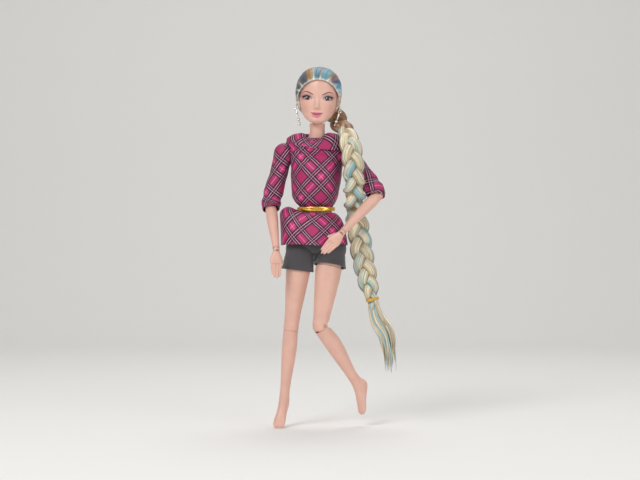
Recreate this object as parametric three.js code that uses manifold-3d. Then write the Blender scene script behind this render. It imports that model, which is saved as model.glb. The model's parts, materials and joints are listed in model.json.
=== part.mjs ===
// A dressed fashion doll with jointed limbs, in millimetres, +Z up, facing -Y, its left side at +X.
// The origin is the middle of the waist. The body hangs together as nested groups, one for each joint,
// and each group is named for the joint at its own origin.
import * as THREE from "three";
import { mergeVertices } from "three/addons/utils/BufferGeometryUtils.js";
import Module from "manifold-3d";

const wasm = await Module();
wasm.setup();

// Fits
const clearance = 0.3; // between two pieces that touch, or that run on each other
const wall = 1.8; // moulded shells
const overrun = 60; // how far a cutting tool runs past what it cuts

// Trunk
const crotchDrop = 38;
const neckTop = 69;
const trunkHalfWidth = 22;
const trunkHalfDepth = 14;
const bustRadius = 7.8;
const bustSpread = 7.5;
const bustHeight = 27;
const bustForward = 9.2;
const cavityTop = 50;
const cavityDrop = 18;
const shoulderHeight = 45;
const shoulderSpread = 26;
const hipDrop = 33;
const hipSpread = 12.5;
const crotchEase = 1; // room beside the crotch for a leg that swings inward
const shoulderFlangeSpread = 12.8; // inner end of the shoulder's axle, from the middle

// Neck and head
const neckLean = 1; // how far the neck stands off the middle
const headTilt = 3; // degrees, towards the doll's left
const knobRadius = 5;
const knobRise = 3.4; // knob centre above the neck's top
const knobStemRadius = 2.2;
const knobFlangeRadius = 3.6;
const knobFlangeHeight = 1.6;
const headHeight = 45.5;
const headHalfWidth = 15.9;
const headHalfDepth = 17;
const headDrop = 4; // chin below the knob's centre
const headShift = 1.6; // middle of the skull behind the neck's line
const noseReach = 3.2;
const noseWidth = 1.5;
const eyeDepth = 1.2;
const eyeSpread = 7.9;
const lipReach = 1.1;
const chinReach = 0.7;
// Heights of the features above the chin, and how tall they are, in shares of the head's height
const nostrils = { height: 0.28, size: 0.04, flare: 0.35 };
const noseRidge = { foot: 0.25, tip: 0.29, slope: 0.3, bridge: 0.56 };
const eyeLine = { height: 0.455, size: 0.07 };
const upperLip = { height: 0.175, size: 0.018 };
const lowerLip = { height: 0.135, size: 0.02 };
const chinPoint = { height: 0.05, size: 0.04 };
const lipWidthShare = 2.4; // against the nose's width
const chinWidthShare = 2.6;
const frontSqueeze = 0.5; // how much closer together the facets are in front
const earHeightShare = 0.4; // middle of the ear above the chin
const earHeight = 4.6;
const earDepth = 2.6;
const earReach = 1.5;
const lobeAcross = 0.6; // where the earring goes through, in shares of the ear's own sizes
const lobeDown = 0.72;
const neckHoleRadius = 9.8;

// Hair
const hairHalfWidth = 18.8;
const hairHalfDepth = 19;
const hairRise = 1.4; // crown of the hair above the skull
const hairlineHalfWidth = 17.2;
const hairlineRise = 35.2; // top of the hairline above the chin
const hairlineHalfHeight = 17.6;
const hairlineBack = 1.6; // front edge of the hair at the temples, in front of the neck's line
const gatherRadius = 6.4;
const gatherSide = 20;
const gatherBack = 13;
const gatherRise = 10;
const braidSide = 31; // how far the braid stands to the side, to the front and above the waist
const braidFront = 19.6;
const braidRise = 70.4;
const braidHalfWidth = 9.6;
const braidHalfDepth = 6.2;
const braidPeriod = 39;
const braidTightness = 0.46; // share of its width that the braid keeps in the elastic
const strandWidthShare = 0.275; // half width of a strand against the braid's
const strandDepthShare = 0.35;
const elasticShare = 0.955; // where the elastic sits along the braid
const elasticWire = 0.7;
const tailHalfWidth = 6.4;
const tailHalfDepth = 3.6;
const tailFlatness = tailHalfDepth / tailHalfWidth;
const elasticHalfWidth = braidHalfWidth * braidTightness + elasticWire + clearance;
const elasticHalfDepth = braidHalfDepth * braidTightness + elasticWire + clearance;
const hairFoot = 6; // nape of the hair above the chin

// Earrings
const studRadius = 1;
const ringRadius = 1.1;
const ringWire = 0.28;
const dropLength = 12;
const dropRadius = 1.5;
const earringLean = 16; // degrees, towards the neck

// Arms
const upperArmLength = 43;
const upperArmHalfWidth = 5.3;
const forearmLength = 45;
const forearmHalfWidth = 4.7;
const shoulderBall = 6.8;
const shoulderAxle = 2.2;
const shoulderFlange = 3.3;
const shoulderTongue = 4.2;
const shoulderPin = 1;
const elbowBall = 4.4;
const elbowTongue = 3;
const elbowPin = 0.8;
const elbowPeg = 1.8;
const elbowPegLength = 8;
const wristBall = 2.7;
const wristTongue = 1.6;
const wristPin = 0.5;
const wristPeg = 1.2;
const wristPegLength = 6;
const limbTop = 0.1; // where the upper arm's skin begins and ends, along its length
const limbEnd = 0.95;
const tongueWidthShare = 1.5; // width of the shoulder's tongue against its eye's radius
const shoulderTongueShare = 0.62; // a tongue's eye against the ball that it sits in
const tongueShare = 0.72;
const pinShare = 0.9; // half length of a pin against its ball
const pinHeadShare = 0.85;
// Degrees from -Z towards +Y
const elbowSlot = { from: -130, to: 32 };
const wristSlot = { from: -68, to: 68 };
const kneeSlot = { from: -32, to: 124 };
const halfTurn = 180;
const elbowRelief = 42; // from the forearm's line to its cut-away front
const kneeRelief = 42; // from a leg's line to its cut-away back, each side of the knee
const legBack = 22; // how far the room for a leg goes behind straight down, and in front
const legFront = -84;
const hubSweep = 70; // to each side of straight in, as the leg spreads

// Hands
const palmLength = 11.5;
const palmHalfWidth = 5.2;
const palmHalfDepth = 2.1;
const fingerLength = 11.5;
const fingerRadius = 1.1;
const thumbLength = 9;
const thumbRadius = 1.25;
const palmTop = 0.12; // where the palm's skin begins, along its length
const digitFlatness = 0.9;
const thumbCurl = 14; // degrees
const thumbSpread = 30;
const thumbAcross = 0.4; // where the thumb begins, in shares of the palm's sizes
const thumbForward = 0.3;
const thumbDown = 0.28;

// Legs
const thighLength = 64;
const thighHalfWidth = 9.6;
const thighHalfDepth = 10.8;
const swivelDrop = 15.5; // cut across the thigh, below the hip
const shinLength = 58;
const shinHalfWidth = 6;
const shinHalfDepth = 7.2;
const hipBall = 10.5;
const hipAxle = 2.1;
const hipHub = 4;
const hipHubLength = 4.6;
const hipTongue = 4;
const hipPin = 1.1;
const thighPeg = 3.4;
const thighPegLength = 9;
const kneeBall = 6.1;
const kneeTongue = 4.4;
const kneePin = 1.1;
const footDrop = 23; // toes below the ankle
const hipAxleReach = hipSpread - hipPin - hipTongue - clearance;
const thighTop = 0.02; // where a limb's skin begins and the forearm's ends, along its length
const forearmEnd = 0.97;

// Clothes
const cloth = 0.9;
const foldDepth = 0.8;
const foldWidth = 1.8;
const bodiceDrop = 1.4; // lower edge of the bodice, under the belt, below the waist
const bodiceTop = 57;
const bodiceHalfWidth = 24;
const bodiceHalfDepth = 20;
const armholeSpread = 19.2; // where the armhole begins, from the middle
const collarHalfWidth = 12.2;
const collarHalfDepth = 11;
const collarHeight = 58.8;
const collarRoll = 2.1;
const collarDip = 4;
const collarHeightShare = 1.3; // height of the collar's roll against its thickness
const sleeveHead = 8.3; // outer radius over the shoulder
const sleeveBeyond = { right: 5, left: 0.5 }; // how far each sleeve goes round its bent elbow, past it
const sleeveTurn = { right: 7, left: 4 }; // how far from the elbow its curve begins
const sleevePlaces = [0, 0.36, 0.72, 0.84, 0.93, 1]; // rings along a sleeve, closer where it bends
const sleeveHalfWidth = 7.3;
const cuffWidth = 2.4;
const cuffRise = 0.35;
const peplumTop = 3.4; // below the waist
const peplumHem = 29.4; // below the waist
const peplumRight = 28;
const peplumLeft = 25;
const peplumFront = 20.4;
const peplumBack = 19;
const peplumFolds = 6;
const puffNarrow = 1.5; // how closely the puff keeps to the right side
const sleeveFoldTurn = 8; // radians that a sleeve's folds wind round it
const shortsTop = 9; // below the waist
const shortsHem = 17.4; // below the hip, along the thigh
const shortsEase = 0.7; // room between the shorts and the body
const shortsFlare = 2.4; // how far the legs of the shorts stand off outside
const shortsInnerFlare = 1.2;
const beltHalfWidth = 15.2;
const beltHalfDepth = 12.4;
const beltHeight = 3;
const beltDrop = 0.4; // middle of the belt below the waist
const beltThickness = 0.9;
const buckleHalfWidth = 11.6;
const buckleHalfHeight = 2.3;
const buckleThickness = 0.9;
const buckleWaistShare = 0.72; // height of the buckle at its middle against its ends
const eyeHalfWidth = 5.2; // the long opening in the buckle
const eyeHalfHeight = 0.75;

// Joint angles of the pose, in degrees
const armPose = {
  right: { swing: 7, raise: 15.3, swivel: 25.9, bend: -46.3, turn: -12, tilt: 20 },
  left: { swing: -16.2, raise: -33.7, swivel: -79.4, bend: -74.5, turn: 97, tilt: 18 },
};
const legPose = {
  right: { swing: -1.8, spread: 7, twist: -12, bend: 6 },
  left: { swing: -11.8, spread: 8.2, twist: -54, bend: 49 },
};

// Facets round a piece
const roundSides = 10;
const smallSides = 6;
const linkSides = 8;
const bodySides = 14;
const armSides = 10;
const clothSides = 18;
const peplumSides = 27;
const peplumRings = 5;
const headSides = 20;
const headRings = 14;
const hairSides = 18;
const hairRings = 10;
const braidSteps = 29;
const braidSides = 5;
const digitSides = 5;
const palmSides = 10;
const shinSides = 12;
const shinRings = 14;
const limbRings = 6;
const capRings = 4;
const tailRings = 10;
const gatherRings = 5;
const sweepSteps = 6;
const wireSides = 4;

const skinColour = 0xe9b796;
const strandColours = [0xd9c79a, 0x8fc1c4, 0xe4d8b8];
const doll = new THREE.Group();

const turned = (degrees) => THREE.MathUtils.degToRad(degrees);
const finish = (color, roughness = 0.5, metalness = 0) =>
  new THREE.MeshStandardMaterial({ color, roughness, metalness });
const skin = () => finish(skinColour, 0.45);
const bell = (x, width) => Math.exp(-((x / width) ** 2));
const sorted = (a, b) => (a < b ? [a, b] : [b, a]);
const bothSides = [-1, 1];
const smoothstep = THREE.MathUtils.smoothstep;

// Boolean work: geometries go in and come out, with their shared corners merged.
function solidOf(geometry) {
  const bare = geometry.clone();
  bare.deleteAttribute("normal");
  bare.deleteAttribute("uv");
  const merged = mergeVertices(bare);
  const index = merged.index.array;
  const kept = [];
  for (let i = 0; i < index.length; i += 3) {
    const [a, b, c] = index.slice(i, i + 3);
    if (a !== b && b !== c && c !== a) kept.push(a, b, c);
  }
  return new wasm.Manifold(
    new wasm.Mesh({
      numProp: 3,
      vertProperties: new Float32Array(merged.attributes.position.array),
      triVerts: new Uint32Array(kept),
    }),
  );
}

function geometryOf(solid) {
  const mesh = solid.getMesh();
  return new THREE.BufferGeometry()
    .setAttribute("position", new THREE.BufferAttribute(new Float32Array(mesh.vertProperties), 3))
    .setIndex(new THREE.BufferAttribute(new Uint32Array(mesh.triVerts), 1));
}

const join = (...pieces) => geometryOf(pieces.map(solidOf).reduce((a, b) => a.add(b)));
const cut = (piece, ...tools) =>
  geometryOf(tools.map(solidOf).reduce((a, b) => a.subtract(b), solidOf(piece)));
const common = (a, b) => geometryOf(solidOf(a).intersect(solidOf(b)));

// The largest body of a solid, without the slivers that a cut may leave
function largest(geometry) {
  const bodies = solidOf(geometry).decompose();
  return geometryOf(bodies.reduce((a, b) => (b.volume() > a.volume() ? b : a)));
}

// A closed skin with its faces out, however it was turned round
function outward(geometry) {
  const corners = geometry.index.array;
  const corner = (i) => new THREE.Vector3().fromBufferAttribute(geometry.attributes.position, corners[i]);
  let volume = 0;
  for (let i = 0; i < corners.length; i += 3) volume += corner(i).dot(corner(i + 1).cross(corner(i + 2)));
  if (volume < 0) corners.reverse();
  return geometry;
}

// Simple shapes
function ball(radius, x = 0, y = 0, z = 0, sides = roundSides) {
  return new THREE.SphereGeometry(radius, sides, sides / 2).rotateX(Math.PI / 2).translate(x, y, z);
}

function block(x, y, z, width, depth, height) {
  return new THREE.BoxGeometry(width, depth, height).translate(x, y, z);
}

// A ball or a rod to cut with, whose flat facets stay outside the round form that it makes room for
function socket(radius, x = 0, y = 0, z = 0, sides = roundSides) {
  return ball((radius + clearance) / Math.cos(Math.PI / sides) ** 2, x, y, z, sides);
}

function bore(axis, radius, from, to, sides = smallSides) {
  return rod(axis, (radius + clearance) / Math.cos(Math.PI / sides), from, to, sides);
}

// A rod along one axis ("x", "y" or "z") between two places on it
function rod(axis, radius, from, to, sides = smallSides) {
  const geometry = new THREE.CylinderGeometry(radius, radius, to - from, sides);
  geometry.translate(0, (from + to) / 2, 0);
  if (axis === "x") return geometry.rotateZ(-Math.PI / 2);
  if (axis === "z") return geometry.rotateX(Math.PI / 2);
  return geometry;
}

const middleOf = (ring) =>
  ring.reduce((sum, point) => sum.add(point), new THREE.Vector3()).divideScalar(ring.length);

// Rings of points joined into one closed skin, with a fan over each end unless the rings close on themselves
function loft(rings, closed = false) {
  const sides = rings[0].length;
  const points = rings.flat();
  const index = [];
  const spans = closed ? rings.length : rings.length - 1;
  for (let r = 0; r < spans; r++) {
    const next = (r + 1) % rings.length;
    for (let i = 0; i < sides; i++) {
      const j = (i + 1) % sides;
      const [a, b, c, d] = [r * sides + i, r * sides + j, next * sides + j, next * sides + i];
      index.push(a, b, c, a, c, d);
    }
  }
  if (!closed) {
    [0, rings.length - 1].forEach((r, end) => {
      const middle = points.length;
      points.push(middleOf(rings[r]));
      for (let i = 0; i < sides; i++) {
        const [a, b] = [r * sides + i, r * sides + ((i + 1) % sides)];
        index.push(...(end ? [a, b, middle] : [b, a, middle]));
      }
    });
  }
  const volume = index.reduce((sum, a, i) => {
    if (i % 3) return sum;
    const [p, q, s] = [points[a], points[index[i + 1]], points[index[i + 2]]];
    return sum + p.dot(new THREE.Vector3().crossVectors(q, s));
  }, 0);
  if (volume < 0) index.reverse();
  return new THREE.BufferGeometry().setFromPoints(points).setIndex(index);
}

// A point of an oval whose right, left, front and back half sizes may differ
function ovalPoint(angle, z, right, left, front, back) {
  const [across, along] = [Math.sin(angle), -Math.cos(angle)];
  return new THREE.Vector3(across * (across < 0 ? right : left), along * (along < 0 ? front : back), z);
}

const angles = (sides) => Array.from({ length: sides }, (_, i) => (i / sides) * 2 * Math.PI);
const steps = (count) => Array.from({ length: count + 1 }, (_, i) => i / count);

// Reads a table of rows [place, ...values] at any place, on a smooth curve through its rows
function reader(rows) {
  const width = rows[0].length - 1;
  const curve = new THREE.CubicInterpolant(
    rows.map((row) => row[0]),
    rows.flatMap((row) => row.slice(1)),
    width,
  );
  return (place) => Array.from(curve.evaluate(place));
}

// A limb that hangs down -Z: rows of [place, width, front, back] in shares of its length and half sizes
function limb({ rows, length, halfWidth, halfDepth, count, from = 0, to = 1, sides = bodySides }) {
  const read = reader(rows);
  const rings = steps(count).map((step) => {
    const place = from + (to - from) * step;
    const [width, front, back] = read(place);
    const [middle, half] = [((back - front) / 2) * halfDepth, ((back + front) / 2) * halfDepth];
    return angles(sides).map((angle) => {
      const [x, y] = [Math.sin(angle) * width * halfWidth, middle - Math.cos(angle) * half];
      return new THREE.Vector3(x, y, -place * length);
    });
  });
  return loft(rings);
}

// A skin of one thickness round a body: `at(u, angle)` gives its outer face at places `u` from edge to edge
function sheet(at, places, sides, thickness = cloth) {
  const outer = places.map((u) => angles(sides).map((angle) => at(u, angle)));
  const normals = outer.map((ring, r) =>
    ring.map((_, i) => {
      const along = outer[Math.min(r + 1, places.length - 1)][i].clone().sub(outer[Math.max(r - 1, 0)][i]);
      return along.cross(ring[(i + 1) % sides].clone().sub(ring[(i + sides - 1) % sides])).normalize();
    }),
  );
  const middles = outer.map(middleOf);
  const away = (r, i) => normals[r][i].dot(outer[r][i].clone().sub(middles[r]));
  const ways = outer.flatMap((ring, r) => ring.map((_, i) => away(r, i)));
  const total = ways.reduce((sum, value) => sum + value, 0);
  const inner = outer.map((ring, r) =>
    ring.map((point, i) => point.clone().addScaledVector(normals[r][i], -Math.sign(total) * thickness)),
  );
  return loft([...outer, ...inner.reverse()], true);
}

// A slot for a tongue that turns about the x axis through the origin, open between two directions.
// Directions are degrees from -Z towards +Y.
function tongueSlot(width, radius, reach, from, to) {
  const shape = new THREE.Shape();
  shape.moveTo(0, 0);
  steps(smallSides).forEach((step) => {
    const angle = turned(from + (to - from) * step);
    shape.lineTo(Math.sin(angle) * reach, -Math.cos(angle) * reach);
  });
  const sector = alongX(shape, -width / 2, width / 2);
  return join(rod("x", radius / Math.cos(Math.PI / roundSides), -width / 2, width / 2, roundSides), sector);
}

function addMesh(group, name, geometry, material) {
  const mesh = new THREE.Mesh(geometry, material);
  mesh.name = name;
  group.add(mesh);
  return mesh;
}

// A joint's own frame inside its carrier: the group turns about one of its axes
function jointFrame(carrier, name, place, axis, degrees = 0) {
  const group = new THREE.Group();
  group.name = name;
  group.position.set(...place);
  group.rotation[axis] = turned(degrees);
  carrier.add(group);
  return group;
}

// Trunk: one outline from the crotch to the neck's top, in shares of its height and half sizes
const trunkShares = [
  [0, 0.055, 0.3, 0.36],
  [0.028, 0.2, 0.6, 0.7],
  [0.075, 0.9, 0.84, 0.96],
  [0.168, 0.92, 0.88, 0.98],
  [0.262, 0.76, 0.78, 0.8],
  [0.355, 0.545, 0.64, 0.6],
  [0.449, 0.6, 0.68, 0.6],
  [0.542, 0.72, 0.82, 0.66],
  [0.617, 0.79, 0.88, 0.74],
  [0.692, 0.84, 0.84, 0.78],
  [0.766, 0.91, 0.72, 0.75],
  [0.822, 0.8, 0.58, 0.66],
  [0.86, 0.57, 0.48, 0.58],
  [0.888, 0.38, 0.43, 0.5],
  [0.916, 0.3, 0.42, 0.46],
  [1, 0.282, 0.41, 0.43],
];
const trunkHeight = crotchDrop + neckTop;
const trunkAt = reader(trunkShares);
const neckFoot = 0.828; // the neck stands off the middle from here to its start
const neckStart = 0.888;

function trunk(ease, from = 0, to = 1, sides = bodySides) {
  const between = trunkShares.map(([share]) => share).filter((share) => share > from && share < to);
  const rings = [from, ...between, to].map((share) => {
    const [width, front, back] = trunkAt(share);
    const lean = neckLean * smoothstep(share, neckFoot, neckStart);
    const across = width * trunkHalfWidth + ease;
    const along = [front, back].map((size) => size * trunkHalfDepth + ease);
    const z = share * trunkHeight - crotchDrop;
    return angles(sides).map((angle) => {
      const point = ovalPoint(angle, z, across, across, ...along);
      return point.add(new THREE.Vector3(lean, 0, 0));
    });
  });
  return loft(rings);
}

// The room that a leg needs as it swings from the back to the front: its ball and its sweep
function legRoom(side) {
  const reach = hipBall + overrun;
  const shape = new THREE.Shape();
  shape.moveTo(0, 0);
  steps(sweepSteps).forEach((step) => {
    const angle = turned(legBack + (legFront - legBack) * step);
    shape.lineTo(Math.sin(angle) * reach, -Math.cos(angle) * reach);
  });
  const across = sorted(-side * (hipBall + crotchEase), side * overrun);
  const ends = [legBack, legFront].map((angle) =>
    bore("z", thighHalfDepth, -overrun, 0, roundSides).rotateX(turned(angle)),
  );
  const outside = block(side * (overrun - hipBall), 0, 0, 2 * overrun, 4 * overrun, 4 * overrun);
  const room = join(socket(hipBall), alongX(shape, ...across), ...ends.map((end) => common(end, outside)));
  return room.translate(side * hipSpread, 0, -hipDrop);
}

// A shape drawn in y and z, drawn out along x
function alongX(shape, from, to) {
  return new THREE.ExtrudeGeometry(shape, { depth: to - from, bevelEnabled: false })
    .applyMatrix4(
      new THREE.Matrix4().makeBasis(
        new THREE.Vector3(0, 1, 0),
        new THREE.Vector3(0, 0, 1),
        new THREE.Vector3(1, 0, 0),
      ),
    )
    .translate(from, 0, 0);
}

function makeTrunk() {
  const shoulders = (radius) =>
    bothSides.map((side) => socket(radius, side * shoulderSpread, 0, shoulderHeight));
  const hips = bothSides.map((side) => socket(hipBall + wall, side * hipSpread, 0, -hipDrop));
  const share = (height) => (height + crotchDrop) / trunkHeight;
  const hollow = trunk(-wall, share(-cavityDrop), share(cavityTop), linkSides);
  const cavity = cut(hollow, ...shoulders(shoulderBall + wall), ...hips);
  const neckBore = bore("z", knobStemRadius, cavityTop - wall, overrun + neckTop);
  const shoulderBores = bothSides.map((side) => {
    const ends = sorted(side * (shoulderSpread - wall), side * bustSpread);
    return bore("x", shoulderAxle, ...ends).translate(0, 0, shoulderHeight);
  });
  const hipBore = bore("x", hipAxle, -hipSpread, hipSpread).translate(0, 0, -hipDrop);
  const bust = bothSides.map((side) => ball(bustRadius, side * bustSpread, -bustForward, bustHeight));
  const body = cut(
    join(trunk(0), ...bust),
    cavity,
    neckBore.translate(neckLean, 0, 0),
    ...shoulderBores,
    hipBore,
    ...shoulders(shoulderBall),
    ...bothSides.map(legRoom),
    socket(knobRadius, neckLean, 0, neckTop + knobRise),
  );
  bothSides.forEach((side) => {
    const half = block(0, side * (overrun + clearance / 2), 0, 4 * overrun, 2 * overrun, 6 * overrun);
    addMesh(doll, side < 0 ? "torso_front_shell" : "torso_back_shell", largest(common(body, half)), skin());
  });
  addMesh(
    doll,
    "hip_axle",
    rod("x", hipAxle, -hipAxleReach, hipAxleReach).translate(0, 0, -hipDrop),
    finish(0xd8d2c8, 0.4),
  );
}

// Head: rows of [height, half width, front, back] in shares of its height and half sizes
const headShares = [
  [0, 0.2, 0.8, -0.52],
  [0.035, 0.4, 0.86, -0.3],
  [0.1, 0.62, 0.88, 0.1],
  [0.19, 0.79, 0.87, 0.52],
  [0.3, 0.905, 0.885, 0.82],
  [0.43, 0.975, 0.9, 1],
  [0.56, 1, 0.905, 1.08],
  [0.69, 0.985, 0.88, 1.09],
  [0.8, 0.905, 0.79, 1.01],
  [0.89, 0.74, 0.62, 0.85],
  [0.96, 0.47, 0.36, 0.6],
  [1, 0.12, 0.02, 0.22],
];
const headAt = reader(headShares);

// How far the features stand out of the plain face, x across and share up from the chin
function features(x, share) {
  const rise = ({ height, size }) => bell(share - height, size);
  const { foot, tip, slope, bridge } = noseRidge;
  const ridge = smoothstep(share, foot, tip) * (1 - smoothstep(share, slope, bridge));
  const nose = noseReach * ridge * bell(x, noseWidth * (1 + nostrils.flare * rise(nostrils)));
  const sockets = -eyeDepth * rise(eyeLine) * bell(Math.abs(x) - eyeSpread, eyeSpread / 2);
  const lips = lipReach * (rise(upperLip) + rise(lowerLip)) * bell(x, noseWidth * lipWidthShare);
  const chin = chinReach * rise(chinPoint) * bell(x, noseWidth * chinWidthShare);
  return nose + sockets + lips + chin;
}

function skull(ease, withFace, sides = headSides, count = headRings) {
  const rings = steps(count).map((share) => {
    const [width, front, back] = headAt(share);
    const middle = ((back - front) / 2) * headHalfDepth;
    const half = ((back + front) / 2) * headHalfDepth + ease;
    return angles(sides).map((step) => {
      const angle = step - frontSqueeze * Math.sin(step);
      const x = Math.sin(angle) * (width * headHalfWidth + ease);
      const facing = Math.cos(angle);
      const relief = withFace && facing > 0 ? features(x, share) * Math.min(1, 2 * facing) : 0;
      return new THREE.Vector3(x, headShift + middle - facing * half - relief, share * headHeight - headDrop);
    });
  });
  return loft(rings);
}

const earPlaces = bothSides.map((side) => ({
  side,
  x: side * (headHalfWidth - earReach / 2),
  y: headShift,
  z: headHeight * earHeightShare - headDrop,
}));
const ear = (place, ease) =>
  ball(1, 0, 0, 0, smallSides)
    .scale(earReach + ease, earDepth + ease, earHeight + ease)
    .translate(place.x, place.y, place.z);
const lobe = (place) => ({
  x: place.x + place.side * earReach * lobeAcross,
  y: place.y,
  z: place.z - earHeight * lobeDown,
});

function makeHead(carrier, frame) {
  const stemFoot = cavityTop - neckTop - knobRise - knobFlangeHeight - clearance - wall;
  const knob = join(
    ball(knobRadius),
    rod("z", knobStemRadius, stemFoot, 0, smallSides),
    rod("z", knobFlangeRadius, stemFoot, stemFoot + knobFlangeHeight, smallSides),
  );
  addMesh(carrier, "neck_knob", knob, skin());
  const throat = new THREE.CylinderGeometry(knobRadius, neckHoleRadius, knobRise + headDrop, roundSides)
    .rotateX(Math.PI / 2)
    .translate(0, 0, -(knobRise + headDrop) / 2 - clearance);
  const head = cut(
    join(skull(0, true), ...earPlaces.map((place) => ear(place, 0))),
    socket(knobRadius),
    throat,
    ...earPlaces.map((place) => {
      const { x, y, z } = lobe(place);
      const ends = sorted(x - place.side * studRadius * 2, x + place.side * earReach);
      return rod("x", ringWire + clearance, ...ends).translate(0, y, z);
    }),
  );
  addMesh(frame, "head", largest(head), skin());
}

// Hair: pulled back over the skull and gathered behind the left ear
const hairShares = [
  [0, 0.42, 0.02, 0.66],
  [0.09, 0.72, 0.3, 0.88],
  [0.21, 0.89, 0.53, 1.02],
  [0.36, 0.98, 0.71, 1.09],
  [0.5, 1, 0.83, 1.11],
  [0.65, 0.965, 0.87, 1.08],
  [0.78, 0.86, 0.79, 0.99],
  [0.88, 0.69, 0.62, 0.83],
  [0.96, 0.45, 0.37, 0.58],
  [1, 0.16, 0.08, 0.26],
];

// Places that the gathered hair passes, in the head's own frame: behind the skull, then down beside the neck
const gatherRouteShares = [
  [0.3, 1, 0.9],
  [0.625, 0.92, 0.6],
  [0.875, 0.81, 0.35],
  [0.98, 0.66, 0.04],
];
const gatherShares = [0.95, 1.05, 1, 0.82];

// A route through places given as shares of three sizes: to the side, along y and up
const routeOf = (shares, side, along, up) =>
  new THREE.CatmullRomCurve3(shares.map(([x, y, z]) => new THREE.Vector3(x * side, y * along, z * up)));

function tube(curve, radii, count, sides, flat = 1) {
  const size = reader(radii.map((radius, i) => [i / (radii.length - 1), radius]));
  const rings = steps(count).map((step) => {
    const centre = curve.getPoint(step);
    const [across, out] = sideways(curve.getTangent(step));
    const [radius] = size(step);
    return angles(sides).map((angle) =>
      centre
        .clone()
        .addScaledVector(across, Math.cos(angle) * radius)
        .addScaledVector(out, Math.sin(angle) * radius * flat),
    );
  });
  return loft(rings);
}

// Across and outward directions of something that lies on the doll's front and shoulder
function sideways(tangent) {
  const up = new THREE.Vector3(0, -1, 0.6);
  const out = up.addScaledVector(tangent, -up.dot(tangent)).normalize();
  return [new THREE.Vector3().crossVectors(out, tangent).normalize(), out];
}

function makeHair(frame) {
  const height = headHeight + hairRise - hairFoot;
  const read = reader(hairShares);
  const rings = steps(hairRings).map((share) => {
    const [width, front, back] = read(share);
    const sizes = [width * hairHalfWidth, width * hairHalfWidth, front * hairHalfDepth, back * hairHalfDepth];
    return angles(hairSides).map((angle) => {
      const point = ovalPoint(angle, share * height + hairFoot - headDrop, ...sizes);
      return point.add(new THREE.Vector3(0, headShift, 0));
    });
  });
  const opening = new THREE.CylinderGeometry(1, 1, overrun, hairSides)
    .scale(hairlineHalfWidth, 1, hairlineHalfHeight)
    .translate(0, -hairlineBack - overrun / 2, hairlineRise - hairlineHalfHeight - headDrop);
  const below = block(
    0,
    -hairlineBack - overrun / 2,
    hairlineRise - hairlineHalfHeight - headDrop - overrun / 2,
    2 * hairlineHalfWidth,
    overrun,
    overrun,
  );
  const nape = rod("z", neckHoleRadius + clearance, -overrun, hairFoot - headDrop + knobRadius, roundSides);
  const gatherRoute = routeOf(gatherRouteShares, gatherSide, gatherBack, gatherRise);
  const gatherSizes = gatherShares.map((share) => share * gatherRadius);
  const gathered = tube(gatherRoute, gatherSizes, gatherRings, smallSides);
  const hair = cut(
    join(loft(rings), gathered),
    skull(clearance, false),
    ...earPlaces.map((place) => ear(place, clearance)),
    opening,
    below,
    nape,
    ...earPlaces.map((place) => {
      const { x, y, z } = lobe(place);
      return socket(2 * studRadius, x + place.side * earReach, y, z - studRadius);
    }),
  );
  addMesh(frame, "hair_cap", largest(hair), finish(0xb98f5e, 0.55));
}

// Braid: three strands that cross over and under each other along one route over the shoulder
// The braid's places, in shares of how far it stands to the side, to the front and above the waist
const braidRouteShares = [
  [0.69, -0.35, 1],
  [0.79, 0.16, 0.886],
  [0.885, 0.79, 0.724],
  [0.952, 1, 0.54],
  [0.984, 0.99, 0.355],
  [1, 0.714, 0.156],
  [1.045, 0.255, -0.071],
  [1.135, 0.173, -0.312],
  [1.239, 0.306, -0.611],
  [1.374, 0.357, -0.88],
  [1.471, 0.342, -1.051],
  [1.513, 0.332, -1.15],
];
const tailRouteShares = [
  [1.518, 0.332, -1.18],
  [1.645, 0.316, -1.28],
  [1.85, 0.291, -1.435],
  [1.955, 0.255, -1.676],
  [1.968, 0.235, -1.898],
];
const tailShares = [0.72, 1.05, 0.95, 0.62, 0.18];
// Places along the braid, with how much of its full size it has there
const braidSizeShares = [
  [0, 0.6],
  [0.06, 0.72],
  [0.16, 0.87],
  [0.35, 0.92],
  [0.6, 0.96],
  [0.78, 0.94],
  [0.9, 0.78],
  [elasticShare, braidTightness],
  [1, braidTightness + 0.06],
];

function makeBraid() {
  const curve = routeOf(braidRouteShares, braidSide, -braidFront, braidRise);
  const length = curve.getLength();
  const size = reader(braidSizeShares);
  const [strandAcross, strandOut] = [strandWidthShare * braidHalfWidth, strandDepthShare * braidHalfDepth];
  const [swayAcross, swayOut] = [braidHalfWidth - strandAcross, braidHalfDepth - strandOut];
  const near = 0.004; // share of the route over which a strand's direction is taken
  const strandPoint = (strand, step) => {
    const [share] = size(step);
    const phase = (step * length * 2 * Math.PI) / braidPeriod + (strand * 2 * Math.PI) / 3;
    const [across, out] = sideways(curve.getTangentAt(step));
    return curve
      .getPointAt(step)
      .addScaledVector(across, swayAcross * share * Math.sin(phase))
      .addScaledVector(out, swayOut * share * Math.sin(2 * phase));
  };
  [0, 1, 2].forEach((strand) => {
    const rings = steps(braidSteps).map((step) => {
      const [share] = size(step);
      const before = strandPoint(strand, Math.max(step - near, 0));
      const after = strandPoint(strand, Math.min(step + near, 1));
      const [across, out] = sideways(after.clone().sub(before).normalize());
      const centre = strandPoint(strand, step);
      return angles(braidSides).map((angle) =>
        centre
          .clone()
          .addScaledVector(across, Math.cos(angle) * strandAcross * share)
          .addScaledVector(out, Math.sin(angle) * strandOut * share),
      );
    });
    addMesh(doll, `braid_strand_${strand + 1}`, loft(rings), finish(strandColours[strand], 0.5));
  });
}

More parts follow.
